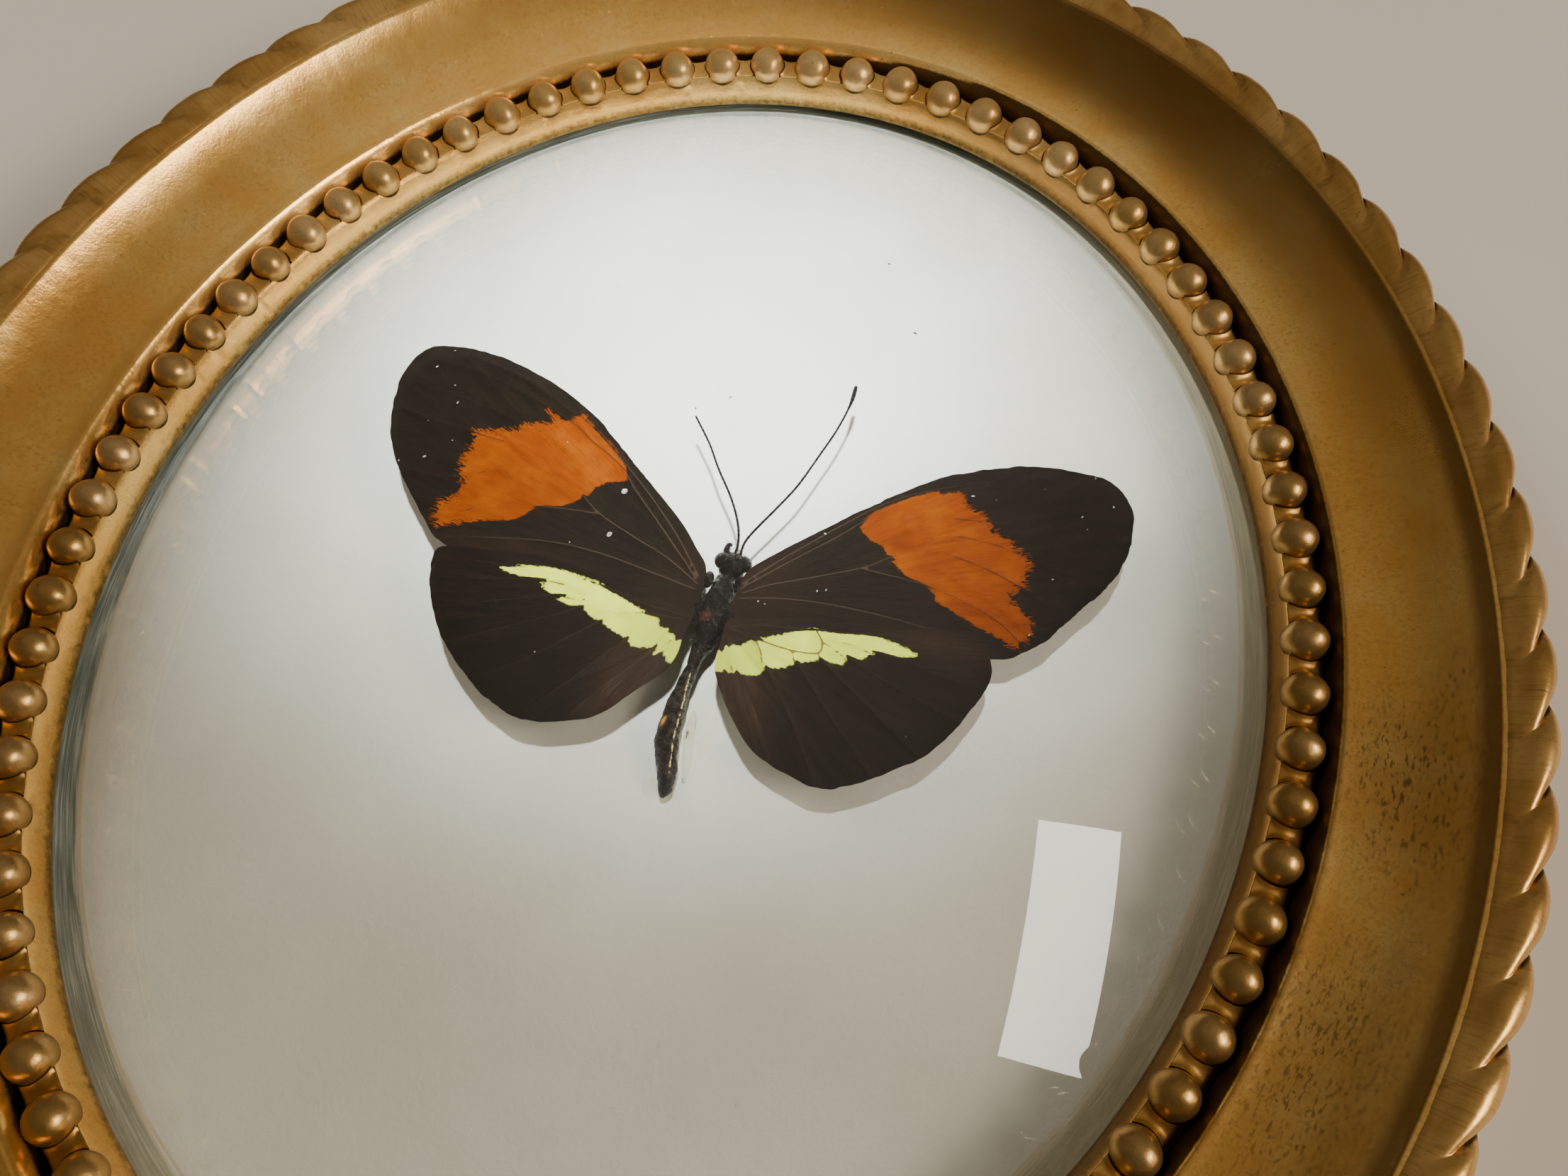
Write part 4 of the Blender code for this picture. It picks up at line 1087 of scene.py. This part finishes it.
def build_wings():
    scales = wing_scales("forewing_scales", ORANGE, ORANGE_DEEP, ORANGE_LIGHT, (0.035, 0.010, 0.003), 0.50)
    fore = {"level": FOREWING_TOP, "finish": scales, "light": 0.95, "loose": (18.0, 25.0)}
    scales = wing_scales("hindwing_scales", PALE_GREEN, PALE_DEEP, PALE_LIGHT, (0.10, 0.040, 0.012), 0.20)
    hind = {"level": HINDWING_TOP, "finish": scales, "light": 0.30, "loose": (24.0, 30.0), "dull_and_shade": shaded_bar_end}
    build_wing(
        "left_forewing", "forewing_left", FOREWING_LEFT, VEINS_FOREWING_LEFT, BAND_LEFT, (2.4, 0.7),
        brown=lambda flat: 0.10 + 0.28 * blob(flat, -15.5, -0.4, 9.0, 1.6),
        seed=11.0, ink=INK_FOREWING_LEFT, dull_and_shade=dull_orange_left, **fore,
    )
    build_wing(
        "right_forewing", "forewing_right", FOREWING_RIGHT, VEINS_FOREWING_RIGHT, BAND_RIGHT, (4.5, 0.7),
        brown=lambda flat: 0.16 + 0.26 * blob(flat, 20.0, 0.2, 9.0, 1.8),
        seed=12.0, ink=INK_FOREWING_RIGHT, dull_and_shade=dull_orange_right, **fore,
    )
    build_wing(
        "left_hindwing", "hindwing_left", HINDWING_LEFT, VEINS_HINDWING_LEFT, BAR_LEFT, (2.4, -2.4),
        brown=lambda flat: 0.08 + 0.95 * blob(flat, -1.0, -10.2, 3.2, 5.2),
        seed=13.0, ink=INK_HINDWING_LEFT, folds=FOLDS_HINDWING_LEFT, **hind,
    )
    build_wing(
        "right_hindwing", "hindwing_right", HINDWING_RIGHT, VEINS_HINDWING_RIGHT, BAR_RIGHT, (4.5, -2.4),
        brown=lambda flat: (
            0.22 + 0.8 * blob(flat, 7.4, -9.6, 3.0, 4.6) + 0.45 * blob(flat, 22.5, 0.3, 5.0, 1.6)
        ),
        seed=14.0, ink=INK_HINDWING_RIGHT, folds=FOLDS_HINDWING_RIGHT, **hind,
    )


# Body

# Sections of the trunk as (x, y, z, half width, half height), from the tip of the abdomen to the head.
BODY_SECTIONS = [
    (3.71, -16.7, 5.9, 0.15, 0.12), (3.71, -16.0, 6.0, 0.60, 0.50), (3.51, -14.7, 6.1, 0.82, 0.70),
    (3.02, -13.2, 6.3, 1.00, 0.90), (2.72, -11.8, 6.4, 1.00, 0.95), (2.63, -9.8, 6.5, 0.85, 0.90),
    (2.68, -7.9, 6.6, 0.68, 0.80), (2.92, -6.0, 6.8, 0.55, 0.70), (3.12, -4.7, 7.0, 0.62, 0.75),
    (3.32, -3.5, 7.1, 0.90, 1.20), (3.42, -1.7, 7.2, 1.18, 1.60), (3.47, 0.2, 7.3, 1.18, 1.75),
    (3.57, 1.7, 7.3, 1.00, 1.35), (3.62, 2.6, 7.4, 0.62, 0.75), (3.69, 3.2, 7.5, 1.05, 1.00),
    (3.72, 4.0, 7.5, 1.20, 1.15), (3.69, 4.8, 7.4, 0.80, 0.80), (3.67, 5.2, 7.3, 0.20, 0.25),
]
EYES = [((2.83, 4.02, 7.7), 0.75), ((4.6, 4.12, 7.7), 0.72)]
SHOULDERS = [(2.15, 1.9, 7.9, 0.55), (4.85, 2.0, 7.9, 0.52), (2.2, -1.3, 8.1, 0.6), (4.7, -1.2, 8.1, 0.58)]
ANTENNA_LEFT = [
    (3.62, 4.6, 7.8), (3.7, 5.7, 8.3), (3.2, 7.4, 8.5), (2.0, 9.6, 8.6), (0.1, 12.2, 8.7),
    (-1.4, 14.5, 8.7), (-3.4, 17.0, 8.7),
]
ANTENNA_RIGHT = [
    (4.12, 4.6, 7.8), (4.22, 5.8, 8.3), (4.8, 7.2, 8.5), (6.0, 9.6, 8.6), (7.2, 12.2, 8.7),
    (8.2, 15.5, 8.7), (9.1, 18.7, 8.7), (9.6, 21.6, 8.7), (9.64, 23.6, 8.7),
]
PALP = [(3.13, 4.6, 7.5), (2.83, 5.1, 7.7), (2.9, 5.6, 7.8), (3.2, 5.6, 7.8)]
PALP_RADII = [0.3, 0.28, 0.2, 0.1]
ABDOMEN_SEGMENTS = [-5.6, -7.2, -8.8, -10.4, -11.9, -13.3, -14.6, -15.6]
ANTENNA_RADIUS = 0.115
HAIR_RADIUS = 0.016
HAIR_SEED = 5
GOLD_LINE_Y = [-15.0, -13.5, -12.0, -10.5, -9.0, -7.5, -5.0]
GOLD_LINE_X = [3.8, 3.6, 3.35, 3.25, 3.2, 3.1, 3.1]


def antenna(route, club):
    """A ringed feeler; club says whether its end still thickens into a club."""
    line = resample(catmull(route, 8), 0.12)
    place = np.linspace(0.0, 1.0, len(line))
    thick = ANTENNA_RADIUS - 0.02 * place + 0.010 * np.cos(np.arange(len(line)) * TURN / 4.0)
    if club:
        thick += 0.10 * ease(0.86, 0.95, place) * ease(1.02, 0.98, place)
    return tube_mesh(line, thick + 0.10 * ease(0.03, 0.0, place), 10)


def trunk_mesh():
    """Head, thorax and abdomen in one, with small lumps."""
    trunk, faces = loft_mesh(BODY_SECTIONS, 7, 44, ABDOMEN_SEGMENTS)
    lumps = roughness_of(trunk, 0.9, 21.0) * 0.10 + roughness_of(trunk, 0.35, 22.0) * 0.05
    x, y, z = np.array(BODY_SECTIONS).T[:3]
    at = trunk[:, 1]
    outwards = trunk - np.column_stack([np.interp(at, y, x), at, np.interp(at, y, z)])
    outwards /= np.maximum(np.linalg.norm(outwards, axis=1, keepdims=True), 0.2)
    return trunk + outwards * lumps[:, None], faces


def build_body():
    parts = [trunk_mesh()]
    parts += [ball_mesh(centre, radius, 16, 24) for centre, radius in EYES]
    parts += [antenna(ANTENNA_LEFT, False), antenna(ANTENNA_RIGHT, True)]
    parts.append(tube_mesh(catmull(PALP, 5), catmull([[r] for r in PALP_RADII], 5)[:, 0], 12))
    for x, y, z, size in SHOULDERS:
        shoulder, faces = ball_mesh((0.0, 0.0, 0.0), 1.0, 12, 18)
        shoulder = shoulder * [size * 0.9, size * 1.5, size * 0.55] + [x, y, z]
        shoulder += (roughness_of(shoulder, 0.5, 23.0) * 0.06)[:, None] * [0.3, 0.3, 1.0]
        parts.append((shoulder, faces))
    points, faces = joined(parts)
    finish = insect_body()
    piece = new_piece("insect_body", points, faces, finish, "insect_body", "butterfly_body", sharp=80.0)
    x, y, z = points.T
    is_trunk = np.arange(len(points)) < len(parts[0][0])
    line = np.interp(y, GOLD_LINE_Y, GOLD_LINE_X)
    gold = bell(x, line, 0.085) * ease(-5.8, -6.8, y) * ease(-15.4, -14.6, y)
    spot = bell(x, 2.15 + 0.12 * (y + 10.9), 0.20) * bell(y, -10.9, 0.42)
    add_values(
        piece, rear=ease(-3.6, -6.2, y), gold_line=gold * is_trunk * (z > 6.4),
        red_spot=0.8 * bell(x, 3.1, 0.45) * bell(y, -1.7, 0.35) * (z > 7.2),
        orange_spot=np.clip(spot * 1.4 - 0.3, 0.0, 1.0) * (z > 6.5), tip=ease(-14.9, -15.5, y),
    )


def hairs(rng, roots, leans, length, thick):
    """Thin three-sided hairs, as closed spikes."""
    turn = TURN * np.arange(3)[:, None] / 3
    parts = []
    for root, lean in zip(roots, leans):
        tip = root + lean * (length * rng.uniform(0.5, 1.2))
        side = np.cross(lean, [0.3, 0.5, 0.8])
        side /= np.linalg.norm(side)
        foot = root + (side * np.cos(turn) + np.cross(lean, side) * np.sin(turn)) * thick
        parts.append((np.vstack([foot, tip]), [[0, 1, 3], [1, 2, 3], [2, 0, 3], [2, 1, 0]]))
    return joined(parts)


def build_hairs():
    """Short hairs over the thorax, round the head, on the palp and on the abdomen."""
    rng = np.random.default_rng(HAIR_SEED)
    groups = [    # count, centre, half sizes of the region, length
        (520, (3.4, -0.3, 7.6), (1.25, 2.9, 1.35), 0.42), (260, (3.6, 4.2, 7.6), (1.25, 1.1, 1.0), 0.36),
        (160, (3.1, -3.6, 7.3), (0.8, 1.4, 0.9), 0.36), (46, (2.85, 5.6, 7.8), (0.28, 0.4, 0.25), 0.34),
        (140, (2.7, -12.0, 6.5), (1.0, 3.6, 0.9), 0.16),
    ]
    parts = []
    for count, centre, size, length in groups:
        heading = rng.normal(size=(count, 3))
        heading[:, 2] = np.abs(heading[:, 2])
        heading /= np.linalg.norm(heading, axis=1, keepdims=True)
        leans = heading + [0.0, -0.5, 0.0] + rng.normal(scale=0.35, size=(count, 3))
        leans /= np.linalg.norm(leans, axis=1, keepdims=True)
        parts.append(hairs(rng, np.array(centre) + heading * np.array(size), leans, length, HAIR_RADIUS))
    finish = mottled("insect_hair_finish", 0.7, (0.42, 0.62), (0.018, 0.013, 0.010), (0.13, 0.10, 0.075), 0.5)
    new_piece("body_hairs", *joined(parts), finish, "insect_body")


# Glue and dust

GLUE_SECTIONS = [
    (4.00, -8.9, 5.6, 0.10, 0.10), (4.20, -10.3, 5.9, 0.36, 0.50), (4.45, -12.1, 6.0, 0.42, 0.62),
    (4.80, -13.7, 5.9, 0.36, 0.50), (4.89, -15.0, 5.6, 0.10, 0.10),
]
GLUE_FILMS = [    # outline, height, seed
    ([(3.2, -8.0), (4.6, -7.4), (5.9, -8.6), (6.4, -10.4), (5.8, -12.2), (4.6, -12.6)], 0.16, 32.0),
    ([(1.6, -15.4), (2.6, -15.0), (3.9, -15.3), (4.8, -15.9), (3.9, -16.8), (2.3, -16.9)], 0.13, 33.0),
]


def puddle(outline, height, seed):
    """A thin dried film of glue with a rounded edge, lying on the paper."""
    edge = resample(catmull(outline, 6, closed=True), 0.12, closed=True)
    middle = edge.mean(axis=0)
    rings = [np.column_stack([edge, np.full(len(edge), MAT_TOP - 0.1)])]
    for share, rise in ((1.0, 0.0), (0.96, 0.45), (0.85, 0.8), (0.68, 0.95), (0.45, 1.0), (0.22, 0.9)):
        ring = middle + (edge - middle) * share
        level = MAT_TOP - 0.02 + height * rise * (1.0 + 0.35 * roughness_of(ring, 0.8, seed))
        rings.append(np.column_stack([ring, level]))
    points = np.vstack(rings + [[[*middle, MAT_TOP - 0.1]], [[*middle, MAT_TOP + height]]])
    return points, closed_rings(points, len(rings), len(edge))


def build_glue():
    dab, faces = loft_mesh(GLUE_SECTIONS, 8, 26)
    dab = dab + (roughness_of(dab, 0.7, 31.0) * 0.10)[:, None]
    parts = [(dab, faces)] + [puddle(*film) for film in GLUE_FILMS]
    piece = new_piece("clear_glue", *joined(parts), dried_glue(), "dried_glue", "glue_dab", sharp=80.0)
    piece.visible_shadow = False


# Crumbs as (x, y, half size).
WING_DUST = [
    (-7.2, 8.1, 0.30), (-7.1, 3.7, 0.27), (-25.3, 14.7, 0.11), (-24.4, 13.0, 0.14), (-26.7, 18.3, 0.08),
    (-27.6, 16.2, 0.12), (-13.6, 11.6, 0.08), (-10.1, 2.1, 0.08), (-25.1, 6.9, 0.16), (-27.1, 5.9, 0.10),
    (-23.4, 9.1, 0.08), (-26.2, 10.5, 0.07), (22.0, 15.0, 0.16), (31.3, 15.1, 0.13), (33.7, 16.7, 0.13),
    (31.8, 19.2, 0.11), (29.9, 8.6, 0.11), (27.8, 17.1, 0.07), (6.8, 0.8, 0.09), (7.4, 0.7, 0.07),
    (10.6, 8.4, 0.12), (24.0, 15.1, 0.08), (28.9, 3.1, 0.14), (31.9, 14.0, 0.07), (12.0, 3.2, 0.12),
    (11.3, 2.9, 0.09), (21.2, -8.1, 0.07), (-9.3, -8.5, 0.07),
]
PAPER_SPECKS = [(13.1, 33.8, 0.16), (-4.7, 20.3, 0.10), (8.8, 41.5, 0.12), (-1.9, 22.3, 0.13)]
DUST_SEED = 8
SPECK_SEED = 9


def crumbs(places, level, seed):
    """Small flat crumbs at the given places, at the height that level gives."""
    rng = np.random.default_rng(seed)
    parts = []
    for x, y, size in places:
        crumb, faces = ball_mesh((0.0, 0.0, 0.0), size, 5, 9)
        turn = rng.uniform(0.0, math.pi)
        wide = Matrix.Rotation(turn, 3, "Z") @ Matrix.Diagonal((1.0, rng.uniform(0.4, 0.8), 0.3))
        crumb = crumb @ np.array(wide).T
        crumb *= (1.0 + 0.35 * roughness_of(crumb / size + x, 0.9))[:, None]
        parts.append((crumb + [x, y, level(x, y)], faces))
    return joined(parts)


def build_dust():
    def wing_level(x, y):
        """The wings' top; the hindwings are those below Y = -1."""
        return (HINDWING_TOP + 0.06 if y < -1.0 else FOREWING_TOP + 0.08) + WING_TILT * abs(x - BODY_X)

    def spotted(name, dark, light):
        return mottled(name, 0.3, (0.4, 0.6), dark, light, 0.8)

    pale = spotted("pale_dust_finish", (0.14, 0.13, 0.12), (0.40, 0.39, 0.36))
    new_piece("pale_dust", *crumbs(WING_DUST, wing_level, DUST_SEED), pale, "wing_scales")
    dark = spotted("dark_speck_finish", (0.02, 0.02, 0.02), (0.12, 0.10, 0.09))
    new_piece("dark_specks", *crumbs(PAPER_SPECKS, lambda x, y: MAT_TOP, SPECK_SEED), dark, "white_paper")


# What keeps its solid

def finish_node(name, finish):
    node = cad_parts[name]
    node.data.materials.clear()
    node.data.materials.append(finish)


def finish_back():
    finish_node("backing_board", brown_board())
    steel = old_metal("dull_steel_finish", (0.42, 0.40, 0.37), (0.20, 0.14, 0.09), 0.42)
    for number in range(1, 7):
        finish_node(f"retaining_point_{number}", steel)
    brass = old_metal("brassed_steel_finish", (0.62, 0.45, 0.20), (0.30, 0.19, 0.08), 0.36)
    finish_node("sawtooth_hanger", brass)


# Stage

CAMERA_AT = (22.958, -45.806, 105.059)
CAMERA_RIGHT = (0.9661, 0.2578, -0.0142)
CAMERA_UP = (-0.2220, 0.8576, 0.4641)
CAMERA_BACK = (0.1318, -0.4452, 0.8857)
CAMERA_LENS = 29.79
CAMERA_SENSOR = 36.0
SKY_PATCH = (75.0, 74.0, 48.0)  # azimuth, elevation and radius in degrees
SKY_DIM = 0.065
SKY_BRIGHT = 0.17
FLOOR_HALF = 1.5  # metres
FLOOR_DROP = 0.0002  # metres below the back plane


def build_camera():
    data = bpy.data.cameras.new("camera")
    data.sensor_width = CAMERA_SENSOR
    data.lens = CAMERA_LENS
    data.clip_start = 0.005
    data.clip_end = 20.0
    camera = bpy.data.objects.new("camera", data)
    turned = Matrix((CAMERA_RIGHT, CAMERA_UP, CAMERA_BACK)).transposed().to_4x4()
    camera.matrix_world = Matrix.Translation(Vector(CAMERA_AT) * MM) @ turned
    bpy.context.scene.collection.objects.link(camera)
    bpy.context.scene.camera = camera


def way_to(azimuth, elevation):
    """The unit vector in this direction, given in degrees."""
    a, e = math.radians(azimuth), math.radians(elevation)
    return Vector((math.cos(a) * math.cos(e), math.sin(a) * math.cos(e), math.sin(e)))


def lamp(name, kind, way, distance, aim, power, color, roll=0.0, mirrored=False, **shape):
    """A light in this direction and at this distance in metres from the point it aims at."""
    data = bpy.data.lights.new(name, kind)
    data.energy = power
    data.color = color
    for key, value in shape.items():
        setattr(data, key, value)
    light = bpy.data.objects.new(name, data)
    light.location = Vector(aim) * MM + way * distance
    light.rotation_mode = "QUATERNION"
    light.rotation_quaternion = way.to_track_quat("Z", "Y") @ Quaternion((0.0, 0.0, 1.0), math.radians(roll))
    light.visible_transmission = False
    light.visible_glossy = mirrored
    bpy.context.scene.collection.objects.link(light)


def build_lamps():
    lamp(
        "window", "AREA", way_to(-2.0, 36.0), 1.0, (37.0, -22.0, 12.0), 5.7, (1.0, 0.94, 0.84),
        roll=11.0, mirrored=True, shape="RECTANGLE", size=0.42, size_y=0.22,
    )
    lamp(
        "top", "SPOT", way_to(80.0, 83.0), 0.50, (-5.0, 26.0, 5.0), 72.0, (0.82, 0.91, 1.0),
        shadow_soft_size=0.02, spot_size=math.radians(10.4), spot_blend=1.0,
    )
    lamp(
        "fill", "AREA", way_to(163.0, 46.0), 0.85, (0.0, 0.0, 5.0), 2.7, (1.0, 0.95, 0.86),
        shape="RECTANGLE", size=0.45, size_y=0.35,
    )


def build_sky():
    """A dim room with one soft bright patch high at the back, and no edge that the glass could mirror."""
    world = bpy.data.worlds.new("studio")
    world.use_nodes = True
    sky = Nodes(world.node_tree)
    inputs = {0: sky.node("TexCoord").outputs["Generated"], 1: way_to(*SKY_PATCH[:2])}
    toward = sky.node("VectorMath", inputs, operation="DOT_PRODUCT").outputs["Value"]
    bright = sky.step(toward, math.cos(math.radians(SKY_PATCH[2])), 1.0, SKY_DIM, SKY_BRIGHT)
    back = sky.tree.nodes["Background"]
    sky.put(back.inputs["Color"], (1.0, 0.92, 0.80))
    sky.put(back.inputs["Strength"], bright)
    bpy.context.scene.world = world


def build_floor():
    f = Finish("floor_finish", Roughness=0.75)
    tone = f.mix(f.grain(60.0, 3.0, 0.5), (0.88, 0.80, 0.68), (0.93, 0.86, 0.75))
    mesh = bpy.data.meshes.new("floor")
    corners = [(-1, -1), (1, -1), (1, 1), (-1, 1)]
    mesh.from_pydata([(FLOOR_HALF * x, FLOOR_HALF * y, 0.0) for x, y in corners], [], [(0, 1, 2, 3)])
    mesh.materials.append(f.set(Base_Color=tone))
    floor = bpy.data.objects.new("floor", mesh)
    floor.location.z = -FLOOR_DROP
    bpy.context.scene.collection.objects.link(floor)


build_camera()
build_moulding()
build_pads()
build_beads()
build_rope()
build_glass()
build_paper()
build_wings()
build_body()
build_hairs()
build_glue()
build_dust()
finish_back()
build_floor()
build_sky()
build_lamps()
